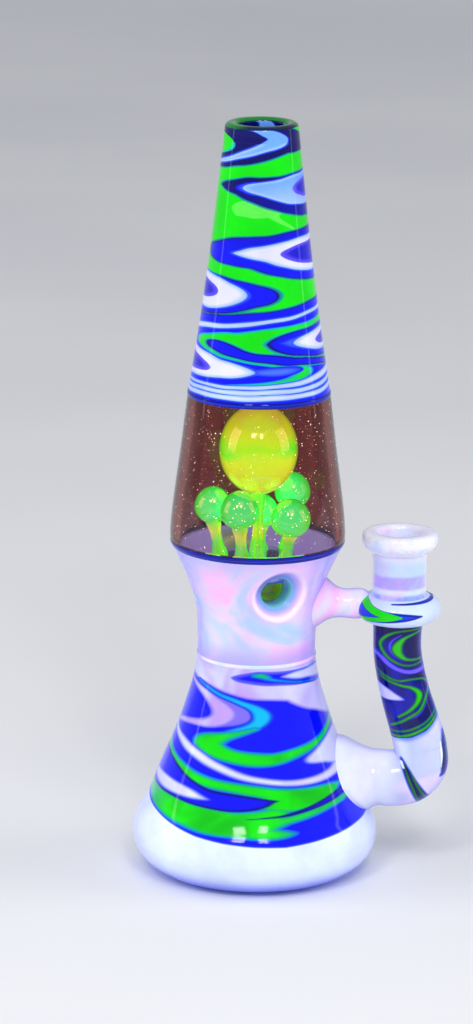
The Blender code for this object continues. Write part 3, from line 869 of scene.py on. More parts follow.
def base_material():
    lilac = milky(rgb(122, 106, 238), rgb(174, 160, 248), rgb(208, 206, 252), rgb(204, 150, 240), 1.1)
    green = milky(rgb(0, 186, 90), rgb(8, 200, 4), rgb(10, 222, 6), rgb(0, 168, 24), 1.1)
    white = milky(rgb(130, 150, 255), rgb(200, 206, 255), WHITE, rgb(214, 190, 255), 0.9)
    layers = (
        ("violet", graded(rgb(60, 60, 235), rgb(122, 104, 230), 0.0, 0.9), None, 0, 0),
        ("lilac", lilac, None, 0, 0),
        ("lens", graded(rgb(96, 92, 240), BLUE, 0.0, 1.5), None, 0, 0),
        ("cyan", graded(rgb(0, 110, 240), rgb(0, 178, 235), 0.0, 0.7), rgb(0, 50, 200), 0.6, 0),
        ("green", green, rgb(0, 130, 200), 0.8, 0),
        ("blue", graded(NAVY, BLUE, 0.0, 1.3), None, 0, 0),
        ("white", white, rgb(60, 60, 250), 0.6, 0),
        # Painted shade: the foot turns darker and bluer towards the floor, on its underside.
        ("foot", by_height(rgb(122, 140, 250), rgb(220, 232, 255), 0.5, 9.0), rgb(20, 50, 250), 0.9, 0),
    )
    return striped("base_stripes", BLUE, layers, 0.1, None, 0.3, 0.35)


def dress(obj, node, material):
    """Gives a piece its material, and its place on the CAD model."""
    obj.data.materials.append(material)
    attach(obj, "root")
    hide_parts(node)
    return obj


# ---------------------------------------------------------------- body

# Each look here is given a small glow of its own, which is painted light.
cone_look = cone_material()
base_look = base_material()
pearl = opal(
    "pearl_glass",
    (
        (0.0, rgb(196, 222, 255)), (0.4, rgb(240, 224, 255)), (0.7, rgb(255, 198, 250)),
        (1.0, rgb(216, 200, 255)),
    ),
    0.08,
)
milk_stops = ((0.0, rgb(226, 232, 255)), (0.5, rgb(248, 248, 255)), (1.0, rgb(206, 216, 255)))
milk = opal("milk_glass", milk_stops, 0.06)
cobalt_layers = (("line", graded(NAVY, rgb(10, 60, 240), 0.0, 0.4), None, 0, 0),)
cobalt = striped("cobalt_glass", rgb(0, 4, 150), cobalt_layers, 0.04)

cone = lathe("cone_stripes", shell_section(UPPER_TRIM_TOP, CONE_TOP, 0.4), 360)
stripes(cone, 170, 256, 4.5, CONE_SETS, 0.33)
dress(cone, "upper_wigwag_shell", cone_look)

lip_z = np.linspace(CONE_TOP, HEIGHT - 1.3, 12)
lip_outer = [(float(radius_at(z)), float(z)) for z in lip_z]
top_radius = float(radius_at(HEIGHT))
lip_crown = [(top_radius - 0.25, HEIGHT - 0.55), (top_radius - 0.95, HEIGHT - 0.1)]
lip_crown.append((top_radius - 1.9, HEIGHT))
lip_bore = [(MOUTH_BORE + 1.1, HEIGHT - 0.05), (MOUTH_BORE + 0.3, HEIGHT - 0.6), (MOUTH_BORE, HEIGHT - 1.8)]
lip_bore.append((MOUTH_BORE + 0.6, CONE_TOP))
lip = lathe("mouth_lip", lip_outer + lip_crown + lip_bore, 240)
stripes(lip, 170, 256, 0.0, CONE_SETS, 0.33)
turn, z, _ = coordinates(lip)
store(lip, "rim", edge_depth(turn, z, ((-180, 260.8), (-60, 260.6), (0, 261.0), (90, 261.0), (180, 260.8))))
rim_layers = (
    ("blue", NAVY, rgb(0, 120, 150), 0.5, 0),
    ("green", GREEN, None, 0, 0),
    ("over", NAVY, None, 0, 0),
    ("white", rgb(104, 160, 255), rgb(30, 60, 240), 0.3, 0),
    ("rim", milky(rgb(2, 14, 60), rgb(3, 40, 44), rgb(10, 130, 40), rgb(3, 16, 70), 0.5), None, 0, 0),
)
dress(lip, "mouthpiece_lip", striped("lip_glass", GREEN, rim_layers, 0.06))

base = lathe("base_stripes", shell_section(FOOT_TOP, BASE_TOP - 1.5, 0.35), 480)
foot = lathe("foot_stripes", shell_section(0.0, FOOT_TOP, 0.35, 27.4), 480)
for piece, node, slot in ((base, "base_wigwag_shell", "striped_glass"), (foot, "foot_ring", "white_glass")):
    stripes(piece, 20, 78, 4.0, BASE_SETS, 0.6)
    turn, z, radius = coordinates(piece)
    store(piece, "foot", -edge_depth(turn, z, FOOT_EDGE))
    dress(piece, node, base_look)

plate_under = [(3.0, 0.5), (13.0, 0.45), (23.0, 0.1), (26.3, 0.0)]
plate_section = plate_under + [(27.0, 0.6), (27.0, 2.4), (26.2, 3.0), (13.0, 2.9), (3.0, 2.7)]
dress(lathe("base_plate", plate_section, 96, False), "base_floor", milk)


def trim(name, node, low, high, look):
    """A thin band of glass melted round the body, standing a hair proud of it."""
    z = np.linspace(low, high, 9)
    swell = 0.25 * np.sin(np.pi * np.linspace(0, 1, 9)) ** 0.5
    outer = np.stack([radius_at(z) + swell, z], 1)
    inner = np.stack([radius_at(z[::-4]) - 1.0, z[::-4]], 1)
    band = lathe(name, np.vstack([outer, inner]), 300)
    turn, z, _ = coordinates(band)
    store(band, "line", 0.35 - np.abs(z - (low + high) / 2 - 0.2 * np.sin(np.radians(turn) * 2)))
    dress(band, node, look)


trim("neck_trim", "neck_trim_ring", BASE_TOP - 1.5, BASE_TOP - 0.15, pearl)
trim("lower_trim", "lower_trim_ring", NECK_TOP + 0.1, TRIM_TOP, cobalt)
trim("upper_trim", "upper_trim_ring", WINDOW_TOP + 0.1, UPPER_TRIM_TOP, cobalt)

# ---------------------------------------------------------------- neck with the cross tube

swiss_row = math.radians(FRONT + SWISS_TURN)
SWISS_OUT = np.array([math.sin(swiss_row), -math.cos(swiss_row), 0.0])
SWISS_SIDE = np.array([math.cos(swiss_row), math.sin(swiss_row), 0.0])


def dimple_depth(distance):
    return SWISS_DEPTH * (1 - smoothstep(SWISS_BORE, SWISS_FLARE + 1.4, distance))


def along_swiss(points):
    """Splits points into how far out along the cross tube's axis, how far aside, and the distance from it."""
    out = points @ SWISS_OUT
    side = points @ SWISS_SIDE
    return out, side, np.hypot(side, points[:, 2] - SWISS_Z)


def neck_wall():
    """The neck before it is cut: dimpled round the cross tube's mouths, and pinched a little at its left."""
    obj = lathe("neck_glass", shell_section(BASE_TOP - 0.15, NECK_TOP + 0.1, 0.45), 330)
    co = corners(obj)
    out, _, distance = along_swiss(co)
    co -= (np.sign(out) * dimple_depth(distance))[:, None] * SWISS_OUT
    turn = np.degrees(np.arctan2(co[:, 0], -co[:, 1])) - FRONT
    pinch = np.exp(-(((co[:, 2] - PINCH_Z) / PINCH_HEIGHT) ** 2))
    pinch *= np.exp(-(((turn - PINCH_TURN) / PINCH_WIDTH) ** 2))
    co[:, :2] *= (1 - PINCH_DEPTH * pinch / np.hypot(co[:, 0], co[:, 1]))[:, None]
    obj.data.vertices.foreach_set("co", (co * MM).ravel())
    return obj


axis_turn = Vector((0, 0, 1)).rotation_difference(Vector(SWISS_OUT)).to_matrix().to_4x4()
ALONG_SWISS = Matrix.Translation((0, 0, SWISS_Z * MM)) @ axis_turn


def drill(obj):
    """Cuts the cross tube's hole right through the neck."""
    radius = SWISS_RADIUS + 0.05
    cutter = lathe("cutter", [(2.0, -40.0), (radius, -40.0), (radius, 40.0), (2.0, 40.0)], 96, False)
    cutter.data.transform(ALONG_SWISS)
    cut = obj.modifiers.new("hole", "BOOLEAN")
    cut.operation = "DIFFERENCE"
    cut.solver = "EXACT"
    cut.object = cutter
    bpy.context.view_layer.update()
    holed = bpy.data.meshes.new_from_object(obj.evaluated_get(bpy.context.evaluated_depsgraph_get()))
    obj.modifiers.clear()
    obj.data = holed
    bpy.data.objects.remove(cutter)


def heal(mesh, near=0.02 * MM):
    """Joins vertices that nearly touch, and closes up edges that more than two faces share."""
    bm = bmesh.new()
    bm.from_mesh(mesh)
    bmesh.ops.remove_doubles(bm, verts=bm.verts, dist=near)
    bmesh.ops.triangulate(bm, faces=bm.faces)
    for _ in range(4):
        pinched = [edge for edge in bm.edges if len(edge.link_faces) != 2]
        if not pinched:
            break
        bmesh.ops.collapse(bm, edges=pinched)
        bmesh.ops.remove_doubles(bm, verts=bm.verts, dist=near)
    bmesh.ops.recalc_face_normals(bm, faces=bm.faces)
    bm.to_mesh(mesh)
    bm.free()


def near_hole(obj):
    """Stores each vertex's distance from the cross tube's axis, and whether it lies high inside the neck."""
    co = corners(obj)
    _, _, distance = along_swiss(co)
    store(obj, "ring", distance)
    radius = np.hypot(co[:, 0], co[:, 1])
    # Marks the high inner wall, where the neck's material paints a lilac glow.
    inside = (radius < radius_at(co[:, 2]) - 1.5) & (distance > SWISS_FLARE + 2)
    store(obj, "inside", inside * smoothstep(99, 106, co[:, 2]))


def neck_material():
    """Pearly glass, pink on the flare round the hole, with a lilac swirl that runs round the neck."""
    material, tree = new_tree("neck_glass")
    ring = field(tree, "ring")
    drift = cloud(tree, 30.0, 3.0, 0.6, distortion=1.2)
    stops = ((0.0, rgb(172, 204, 255)), (0.8, rgb(250, 190, 250)), (0.45, rgb(226, 208, 255)))
    tint = ramp(tree, step(tree, drift, 0.3, 0.7), stops)
    z = place_along(tree, "Z")
    low = step(tree, z, 0.078, 0.086, 1.0, 0.0)
    colour = blend(tree, sums(tree, "MULTIPLY", low, 0.75), tint, rgb(170, 160, 255))
    # Bluer towards the top, under the window's overhang: painted shade.
    high = step(tree, z, 0.108, 0.1155)
    colour = blend(tree, sums(tree, "MULTIPLY", high, 0.5), colour, rgb(176, 186, 255))
    flare = step(tree, ring, 8.4, 12.0, 0.75, 0.0)
    colour = blend(tree, flare, colour, rgb(255, 186, 248))
    # A whiter ring on the crest round the hole: a painted highlight.
    crest_highlight = sums(tree, "MULTIPLY", step(tree, ring, 7.8, 8.8), step(tree, ring, 9.0, 10.4, 1.0, 0.0))
    colour = blend(tree, sums(tree, "MULTIPLY", crest_highlight, 0.8), colour, rgb(255, 240, 255))
    throat = step(tree, ring, 6.6, 8.2, 0.9, 0.0)
    colour = blend(tree, throat, colour, rgb(140, 186, 250))
    deep = step(tree, ring, 5.1, 6.3, 1.0, 0.0)
    colour = blend(tree, deep, colour, rgb(104, 190, 190))
    colour = edge_shade_and_sheen(tree, uneven(tree, colour, 0.08))
    # Painted light: the high inner wall is painted lilac and glows by itself.
    inside = field(tree, "inside")
    colour = blend(tree, inside, colour, rgb(150, 136, 255))
    # Painted light: the whole neck glows a little in its own colour.
    lit = blend(tree, 0.91, colour, (0.0, 0.0, 0.0, 1.0))
    lit = blend(tree, sums(tree, "MULTIPLY", inside, 0.8), lit, rgb(150, 146, 255))
    gloss = {"coat": 0.2, "coat_rough": 0.04, "soft": 0.2, "soft_scale": 0.004}
    return finish(material, tree, colour, None, 1.0, lit=lit, **gloss)


neck = neck_wall()
drill(neck)
heal(neck.data)
neck.data.shade_smooth()
neck.data.set_sharp_from_angle(angle=math.radians(60))
neck_look = neck_material()
near_hole(neck)
dress(neck, "neck_shell", neck_look)


def throat_ring(distance, end, depth=0.0, columns=96):
    """A ring round the cross tube, a given depth below the dimpled surface of the neck."""
    phi = np.arange(columns) * 2 * math.pi / columns
    side, height = distance * np.cos(phi), SWISS_Z + distance * np.sin(phi)
    out = np.sqrt(radius_at(height) ** 2 - side**2) - dimple_depth(np.full(columns, distance)) - depth
    up = np.array([0, 0, 1.0])
    return end * out[:, None] * SWISS_OUT + side[:, None] * SWISS_SIDE + height[:, None] * up


tube_rings = [throat_ring(SWISS_RADIUS - 0.03, 1)]
for distance, depth in ((5.75, 0.0), (5.3, 0.35), (5.0, 1.0), (SWISS_BORE, 2.0)):
    tube_rings.append(throat_ring(distance, 1, depth))
for distance, depth in ((SWISS_BORE, 2.0), (5.0, 1.0), (5.3, 0.35), (5.75, 0.0), (SWISS_RADIUS - 0.03, 0.0)):
    tube_rings.append(throat_ring(distance, -1, depth))
swiss = ringed("cross_tube", tube_rings, True)
near_hole(swiss)
dress(swiss, "swiss_tube", neck_look)


def green_material(name, low, high, painted_glow):
    """Green glass with a painted glow, yellower towards its top, with brown swirls in it."""
    material, tree = new_tree(name)
    z = place_along(tree, "Z")
    colour = blend(tree, step(tree, z, low * MM, high * MM), rgb(60, 146, 8), rgb(120, 186, 12))
    swirl = step(tree, cloud(tree, 150.0, 3.0, 0.6, distortion=1.5), 0.42, 0.62)
    colour = blend(tree, sums(tree, "MULTIPLY", swirl, 0.6), colour, rgb(118, 84, 10))
    colour = uneven(tree, colour, 0.1, 180.0)
    return finish(material, tree, colour, None, painted_glow, coat=0.4, coat_rough=0.03)


liner_outside = [(4.55, -12.0), (4.75, -11.5), (4.8, 0.0), (4.75, 11.5), (4.55, 12.0)]
liner_profile = liner_outside + [(3.9, 12.0), (3.8, 0.0), (3.9, -12.0)]
liner = lathe("cross_liner", liner_profile, 72)
liner.data.transform(ALONG_SWISS)
dress(liner, "swiss_liner", green_material("liner_glass", 98.0, 108.0, 0.4))

# ---------------------------------------------------------------- window and lava

WINDOW_IOR = 1.3  # low, so that the thick wall hardly magnifies the lava


def window_material():
    """Maroon glass, with painted shade on its back half behind the lava, darker towards its edges: partly the
    longer path through the tinted glass, partly painted shade.
    """
    material, tree = new_tree("window_glass")
    facing = add(tree, "LayerWeight", {0: 0.5}).outputs["Facing"]
    # Darker at grazing angles: partly the longer path through tinted glass, partly painted shade.
    front = blend(tree, step(tree, facing, 0.25, 0.9), rgb(180, 106, 98), rgb(66, 9, 7))
    colour = blend(tree, field(tree, "back_shade"), front, rgb(62, 14, 13))
    colour = uneven(tree, colour, 0.08, 50.0)
    gloss = {"specular": 0.7, "coat": 0.15, "coat_rough": 0.03, "rough": (0.0, 0.015), "ior": WINDOW_IOR}
    return finish(material, tree, colour, None, 0, through=1.0, **gloss)


def clear_material():
    material, tree = new_tree("window_bore")
    tint = step(tree, cloud(tree, 60.0), 0.3, 0.7)
    colour = blend(tree, tint, rgb(252, 246, 246), rgb(255, 252, 250))
    return finish(material, tree, colour, None, 0, through=1.0, rough=(0.0, 0.01), ior=WINDOW_IOR)


window = lathe("window_glass", shell_section(TRIM_TOP, WINDOW_TOP + 0.1, 0.8), 240)
turn, z, radius = coordinates(window)
# Painted shade: the back half of the window is darker.
store(window, "back_shade", smoothstep(86, 104, np.abs(turn)))
dress(window, "window_shell", window_material())
window.data.materials.append(clear_material())
for polygon in window.data.polygons:
    if polygon.normal.x * polygon.center.x + polygon.normal.y * polygon.center.y < 0:
        polygon.material_index = 1

# Painted glow of the lava: the glass shines by itself, though it is no lamp.
LAVA_PAINTED_GLOW = 1.75


def lava_material(name, stops, low, high, middle, edge, painted_glow):
    """Glass lava. Stops are (share of the height, colour). Middle is a painted lit colour that shows head-on,
    edge a painted shade at a grazing angle; the glow is painted light.
    """
    material, tree = new_tree(name)
    z = place_along(tree, "Z")
    wander = step(tree, cloud(tree, 90.0, 2.0, 0.5, distortion=0.6), 0.0, 1.0, -0.12, 0.12)
    share = sums(tree, "ADD", add(tree, "MapRange", {0: z, 1: low * MM, 2: high * MM}).outputs[0], wander)
    tint = ramp(tree, share, stops)
    facing = add(tree, "LayerWeight", {0: 0.5}).outputs["Facing"]
    colour = blend(tree, step(tree, facing, 0.05, 0.5, 0.6, 0.0), tint, middle)
    colour = blend(tree, step(tree, facing, 0.5, 1.0, 0.0, 0.85), colour, edge)
    gloss = {"coat": 1.0, "coat_rough": 0.04, "rough": (0.04, 0.09), "ior": 1.9, "specular": 1.0}
    return finish(material, tree, colour, None, painted_glow, **gloss)


def blob(name, x, y, z, radius, half_height, lean=0.0):
    """A drop of glass, a little fuller below its middle."""
    t = np.linspace(0.03, math.pi - 0.03, 40)
    height = -np.cos(t) * half_height
    r = radius * np.sin(t) * (1 - lean * np.cos(t - math.pi) * 0.12)
    return move(lathe(name, np.stack([r, height], 1), 64, False), x, y, z)


ball_stops = (
    (0.0, rgb(164, 190, 0)),
    (0.42, rgb(162, 234, 0)),
    (0.54, rgb(44, 246, 0)),
    (0.7, rgb(148, 216, 0)),
    (0.9, rgb(158, 172, 4)),
)
# Painted light and shade: a lit middle and a shaded edge.
ball_lit_and_shaded = (rgb(154, 242, 0), rgb(104, 150, 0))
ball_look = lava_material("ball_glass", ball_stops, 134.0, 164.0, *ball_lit_and_shaded, LAVA_PAINTED_GLOW * 1.35)
dress(blob("ball_glass", 0, 0, BALL_Z, BALL_RADIUS, BALL_HALF_HEIGHT), "lava_ball", ball_look)

root_section = [(2.5, ROOT_BOTTOM)]
for share in np.linspace(0, 1, 24):
    angle = share * math.pi
    radius = ROOT_RADIUS - ROOT_ROUND + ROOT_ROUND * math.sin(angle)
    root_section.append((radius, ROOT_BOTTOM + (ROOT_TOP - ROOT_BOTTOM) / 2 * (1 - math.cos(angle))))
root_section.append((2.5, ROOT_TOP))
root_stops = ((0.0, rgb(60, 60, 160)), (1.0, rgb(120, 110, 220)), (0.6, rgb(90, 90, 200)))
# The root's lighter middle and darker edge are painted light and shade, and its glow is painted light.
root_look = lava_material("root_glass", root_stops, 104.0, 112.0, rgb(130, 120, 230), rgb(70, 70, 190), 0.3)
dress(lathe("root_glass", root_section, 120, False), "lava_root", root_look)


def waisted(name, foot_point, top_point, foot_radius, waist_radius, top_radius, columns=48):
    """A pulled stem of glass between two points, thin in its middle."""
    a, b = np.array(foot_point, float), np.array(top_point, float)
    centre = np.linspace(0, 1, 26)
    radius = waist_radius + (foot_radius - waist_radius) * (1 - smoothstep(0, 0.45, centre))
    radius += (top_radius - waist_radius) * smoothstep(0.6, 1, centre)
    phi = np.arange(columns) * 2 * math.pi / columns
    rings = []
    for t, r in zip(centre, radius):
        p = a + (b - a) * t
        rings.append(np.stack([p[0] + r * np.cos(phi), p[1] + r * np.sin(phi), np.full(columns, p[2])], 1))
    return ringed(name, rings)


stem_ends = ((0.0, rgb(20, 190, 30)), (1.0, rgb(60, 230, 40)))
stem_stops = stem_ends + ((0.45, rgb(60, 220, 10)), (0.75, rgb(210, 220, 20)))
stem_lit_and_shaded = (rgb(104, 235, 20), rgb(10, 120, 20))
stem_look = lava_material("stem_glass", stem_stops, 111.0, 124.0, *stem_lit_and_shaded, LAVA_PAINTED_GLOW)
drop_stops = ((0.0, rgb(90, 240, 20)), (1.0, rgb(30, 220, 60)), (0.5, rgb(20, 225, 60)))
drop_lit_and_shaded = (rgb(56, 250, 150), rgb(0, 150, 30))
drop_look = lava_material("drop_glass", drop_stops, 120.0, 138.0, *drop_lit_and_shaded, LAVA_PAINTED_GLOW * 1.15)
for number, (turn, distance, height, radius) in enumerate(DROPS, 1):
    angle = math.radians(turn + FRONT)
    x, y = distance * math.sin(angle), -distance * math.cos(angle)
    drop = blob(f"drop_glass_{number}", x, y, height, radius, radius, 0.6)
    dress(drop, f"lava_drop_{number}", drop_look)
    foot_at = (x * STEM_FOOT_SHARE, y * STEM_FOOT_SHARE, ROOT_TOP - 0.4)
    top_at = (x, y, height - radius * 0.86)
    stem = waisted(f"stem_glass_{number}", foot_at, top_at, STEM_RADIUS, STEM_WAIST, STEM_RADIUS * 0.95)
    dress(stem, f"lava_stem_{number}", stem_look)
ball_foot = (0, 0, ROOT_TOP - 0.4)
ball_under = (0, 0, BALL_Z - BALL_HALF_HEIGHT + 0.6)
ball_stem = waisted("ball_stem_glass", ball_foot, ball_under, 3.2, 1.8, 2.6)
dress(ball_stem, "lava_ball_stem", stem_look)

# ---------------------------------------------------------------- side arm


def swept(name, path, radii, bore, columns=96):
    """A tube along a path in the XZ plane, with its outside and its bore."""
    path, radii = np.asarray(path, float), np.asarray(radii, float)
    along = np.gradient(path, axis=0)
    along /= np.linalg.norm(along, axis=1)[:, None]
    normal = np.stack([-along[:, 1], along[:, 0]], 1)
    phi = np.radians(FRONT) + np.arange(columns) * 2 * math.pi / columns

    def ring(i, r):
        aside, front = np.sin(phi) * r, -np.cos(phi) * r
        x = path[i, 0] - normal[i, 0] * aside
        z = path[i, 1] - normal[i, 1] * aside
        return np.stack([x, front, z], 1)

    rings = [ring(i, radii[i]) for i in range(len(path))]
    rings += [ring(i, bore) for i in range(len(path) - 1, -1, -6)]
    if (len(path) - 1) % 6:
        rings.append(ring(0, bore))
    return ringed(name, rings, True)


def arm_stripes(obj, path):
    """Stripes of the arm, from each vertex's turn round the tube and its height where the path is steep."""
    co = corners(obj)
    centre_x = np.interp(co[:, 2], path[::-1, 1], path[::-1, 0])
    turn = turn_of(co[:, 0] - centre_x, co[:, 1])
    front = to_front(turn)
    for name, strokes in (("green", ARM_GREEN), ("violet", ARM_VIOLET), ("pale", ARM_PALE)):
        store(obj, name, reach(front, co[:, 2], strokes, 0.155, 0.5) - 0.08)
    across = co[:, 0] * math.cos(math.radians(FRONT)) + co[:, 1] * math.sin(math.radians(FRONT))
    for name, strokes in (("navy", ARM_NAVY), ("lines", ELBOW_GREEN), ("shine", ELBOW_WHITE)):
        store(obj, name, reach(across, co[:, 2], strokes, 1.0, 1.0))
    store(obj, "elbow", -edge_depth(turn, co[:, 2], ELBOW_EDGE))


arm_curve = smooth_path(ARM_PATH, ARM_STEPS)
split = ARM_SPANS * ARM_STEPS
arm_part, elbow_part = arm_curve[: split + 1], arm_curve[split:]
steep = arm_curve[: ARM_STEEP_SPANS * ARM_STEPS]
share = np.linspace(0, 1, len(arm_part))
arm_radii = np.interp(share, np.linspace(0, 1, len(ARM_RADII)), ARM_RADII)
widening = smoothstep(0, 0.3, np.linspace(0, 1, len(elbow_part)))
elbow_radii = ARM_FOOT_RADIUS + (ELBOW_RADIUS - ARM_FOOT_RADIUS) * widening


def elbow_fill(tree, depth):
    """Cloudy pale blue, whiter towards the weld."""
    clouds = milky(rgb(110, 140, 255), rgb(160, 190, 255), rgb(236, 240, 255), rgb(250, 222, 252), 2.0)
    x = place_along(tree, "X")
    near = step(tree, x, 0.0440, 0.0530, 0.85, 0.0)
    return blend(tree, near, clouds(tree, depth), rgb(236, 240, 255))


arm_layers = (
    ("violet", graded(rgb(40, 40, 220), rgb(110, 90, 255), 0.0, 0.5), None, 0, 0),
    ("pale", graded(rgb(90, 90, 240), rgb(214, 210, 255), 0.0, 0.8), None, 0, 0),
    ("elbow", elbow_fill, rgb(20, 30, 190), 0.5, 0),
    ("navy", graded(rgb(20, 30, 150), NAVY, 0.0, 0.6), rgb(90, 120, 240), 0.7, 0),
    ("lines", rgb(16, 110, 50), None, 0, 0),
    ("shine", rgb(236, 244, 255), None, 0, 0),
    ("green", graded(rgb(20, 110, 40), rgb(40, 190, 20), 0.0, 0.5), rgb(0, 60, 110), 0.3, 0),
)


def ground(tree, colour):
    patches = step(tree, cloud(tree, 55.0, 2.0, 0.5, distortion=0.7), 0.45, 0.7)
    return blend(tree, patches, colour, rgb(8, 20, 190))


arm_look = striped("arm_stripes", rgb(2, 2, 84), arm_layers, 0.08, ground, 0.15, 0.5)
arm = swept("arm_stripes", arm_part, arm_radii, PASSAGE)
elbow = swept("arm_elbow", elbow_part, elbow_radii, PASSAGE)
for piece, node, slot in ((arm, "downstem_arm", "striped_glass"), (elbow, "inlet_elbow", "opal_glass")):
    arm_stripes(piece, steep)
    dress(piece, node, arm_look)


def saddle(name, section, bore, height, sink, tuck=0.0, columns=96):
    """A welded branch along +X that flares on to the body, from (distance from the axis, radius) points."""
    phi = np.arange(columns) * 2 * math.pi / columns
    x0, r0 = section[0]
    x1 = section[-1][0]
    under = 1 - tuck * np.clip(-np.sin(phi), 0, 1)

    def ring(x, r):
        r = r0 + (r - r0) * under if r > r0 else r
        y, z = r * np.cos(phi), height + r * np.sin(phi)
        end_r = r0 + (section[-1][1] - r0) * under
        wall = np.sqrt(radius_at(height + end_r * np.sin(phi)) ** 2 - (end_r * np.cos(phi)) ** 2) - sink
        share = (x0 - x) / (x0 - x1)
        return np.stack([x0 + (wall - x0) * share, y, z], 1)

    smooth = smooth_path(section, 8)
    rings = [ring(x, r) for x, r in smooth]
    rings += [ring(x1, bore), ring((x0 + x1) / 2, bore), ring(x0, bore)]
    return ringed(name, rings, True)


collar_end = ((43.6, 9.72), (43.2, 9.83), (41.5, 9.95))
collar_section = collar_end + ((40.0, 10.4), (37.0, 11.8), (34.0, 13.8), (31.0, 14.8))
collar = saddle("weld_collar", collar_section, PASSAGE, ELBOW_Z, 0.5, 0.7)
# The collar carries on the elbow's pale glass, without the arm's strokes.
for layer in arm_layers:
    depth = WELL_INSIDE if layer[0] == "elbow" else WELL_OUTSIDE
    store(collar, layer[0], np.full(len(collar.data.vertices), depth))
dress(collar, "inlet_collar", arm_look)
bridge_section = ((38.8, 3.6), (36.8, 5.0), (34.0, 5.3), (30.5, 5.0), (27.5, 5.5), (25.0, 7.0), (22.5, 9.2))
dress(saddle("bridge", bridge_section, 1.5, BRIDGE_Z, 0.5), "bridge_strut", pearl)


def maria():
    """The ring of glass under the socket, with a chevron of green, navy and blue."""
    centre = MARIA_RADIUS - MARIA_HALF_HEIGHT
    t = np.linspace(-0.62 * math.pi, 0.62 * math.pi, 60)
    outer = np.stack([centre + MARIA_HALF_HEIGHT * np.cos(t), MARIA_Z + MARIA_HALF_HEIGHT * np.sin(t)], 1)
    inner = [(PASSAGE + 0.1, outer[-1, 1] - 0.4), (PASSAGE + 0.1, outer[0, 1] + 0.4)]
    ring = lathe("maria_glass", np.vstack([outer, inner]), 240)
    turn, z, radius = coordinates(ring)
    arc = MARIA_HALF_HEIGHT * np.arctan2(z - MARIA_Z, radius - centre)
    turn = to_front(turn)
    store(ring, "blue", reach(turn, arc, MARIA_BLUE, 0.25, 0.6))
    store(ring, "green", reach(turn, arc, MARIA_GREEN, 0.25, 0.6))
    layers = (
        ("blue", graded(NAVY, rgb(10, 50, 230), 0.0, 0.8), rgb(60, 90, 250), 0.4, 0),
        ("green", GREEN, rgb(0, 60, 120), 0.3, 0),
    )
    ring.data.transform(Matrix.Translation((JOINT_X * MM, 0, 0)))
    look = striped("maria_stripes", rgb(206, 222, 255), layers, 0.08)
    return dress(ring, "maria_ring", look)


maria()

socket_top = JOINT_TOP - LIP_HEIGHT
tube_section = [
    (JOINT_RADIUS + 0.7, MARIA_Z + 3.9),
    (JOINT_RADIUS + 0.15, MARIA_Z + 4.6),
    (JOINT_RADIUS, MARIA_Z + 6.0),
    (JOINT_RADIUS - 0.1, 106.0),
    (JOINT_RADIUS, 112.0),
    (JOINT_RADIUS + 0.5, socket_top + 0.1),
    (SOCKET_MOUTH - 0.3, socket_top + 0.1),
    (SOCKET_FOOT, JOINT_TOP - SOCKET_DEPTH),
    (PASSAGE, JOINT_TOP - SOCKET_DEPTH - 0.5),
    (PASSAGE, MARIA_Z + 3.9),
]
tube = lathe("socket_tube", tube_section, 144)


def frosted():
    """Pale socket glass: bluish foot, lilac band, then paler and cyan-white to the lip."""
    material, tree = new_tree("socket_glass")
    z = place_along(tree, "Z")
    colour = blend(tree, step(tree, z, 0.1000, 0.1015), rgb(140, 160, 255), rgb(214, 226, 255))
    colour = blend(tree, step(tree, z, 0.1020, 0.1035), colour, rgb(176, 158, 250))
    colour = blend(tree, step(tree, z, 0.1065, 0.1080), colour, rgb(192, 214, 252))
    colour = blend(tree, step(tree, z, 0.1100, 0.1160), colour, rgb(236, 236, 255))
    clouds = cloud(tree, 75.0, 3.0, 0.55, distortion=1.0)
    colour = blend(tree, step(tree, clouds, 0.46, 0.66, 0.0, 0.65), colour, rgb(226, 196, 250))
    colour = blend(tree, step(tree, clouds, 0.5, 0.34, 0.0, 0.5), colour, rgb(178, 208, 255))
    grain = cloud(tree, 900.0, 2.0)
    # Its edges take a paler painted sheen at grazing angles.
    colour = edge_shade_and_sheen(tree, uneven(tree, colour, 0.06, 140.0), rgb(238, 236, 255), 0.75)
    gloss = {"rough": (0.07, 0.2), "coat": 0.6, "coat_rough": 0.04, "soft": 0.2, "soft_scale": 0.003}
    return finish(material, tree, colour, grain, 0.08, **gloss)


socket_look = frosted()
dress(move(tube, JOINT_X, 0, 0), "joint_tube", socket_look)
lip_section = [
    (JOINT_RADIUS + 0.4, socket_top),
    (JOINT_RADIUS + 1.4, socket_top + 0.2),
    (JOINT_RADIUS + 2.9, socket_top + 1.6),
    (LIP_RADIUS - 0.2, socket_top + 2.7),
    (LIP_RADIUS, socket_top + 3.6),
    (LIP_RADIUS, JOINT_TOP - 1.6),
    (LIP_RADIUS - 0.3, JOINT_TOP - 0.6),
    (LIP_RADIUS - 1.0, JOINT_TOP - 0.1),
    (LIP_RADIUS - 2.0, JOINT_TOP),
    (SOCKET_MOUTH + 1.2, JOINT_TOP),
    (SOCKET_MOUTH + 0.3, JOINT_TOP - 0.4),
    (SOCKET_MOUTH, JOINT_TOP - 1.3),
    (SOCKET_MOUTH - 0.3, socket_top),
]
dress(move(lathe("socket_lip", lip_section, 192), JOINT_X, 0, 0), "joint_lip", socket_look)

# ---------------------------------------------------------------- glitter in the window


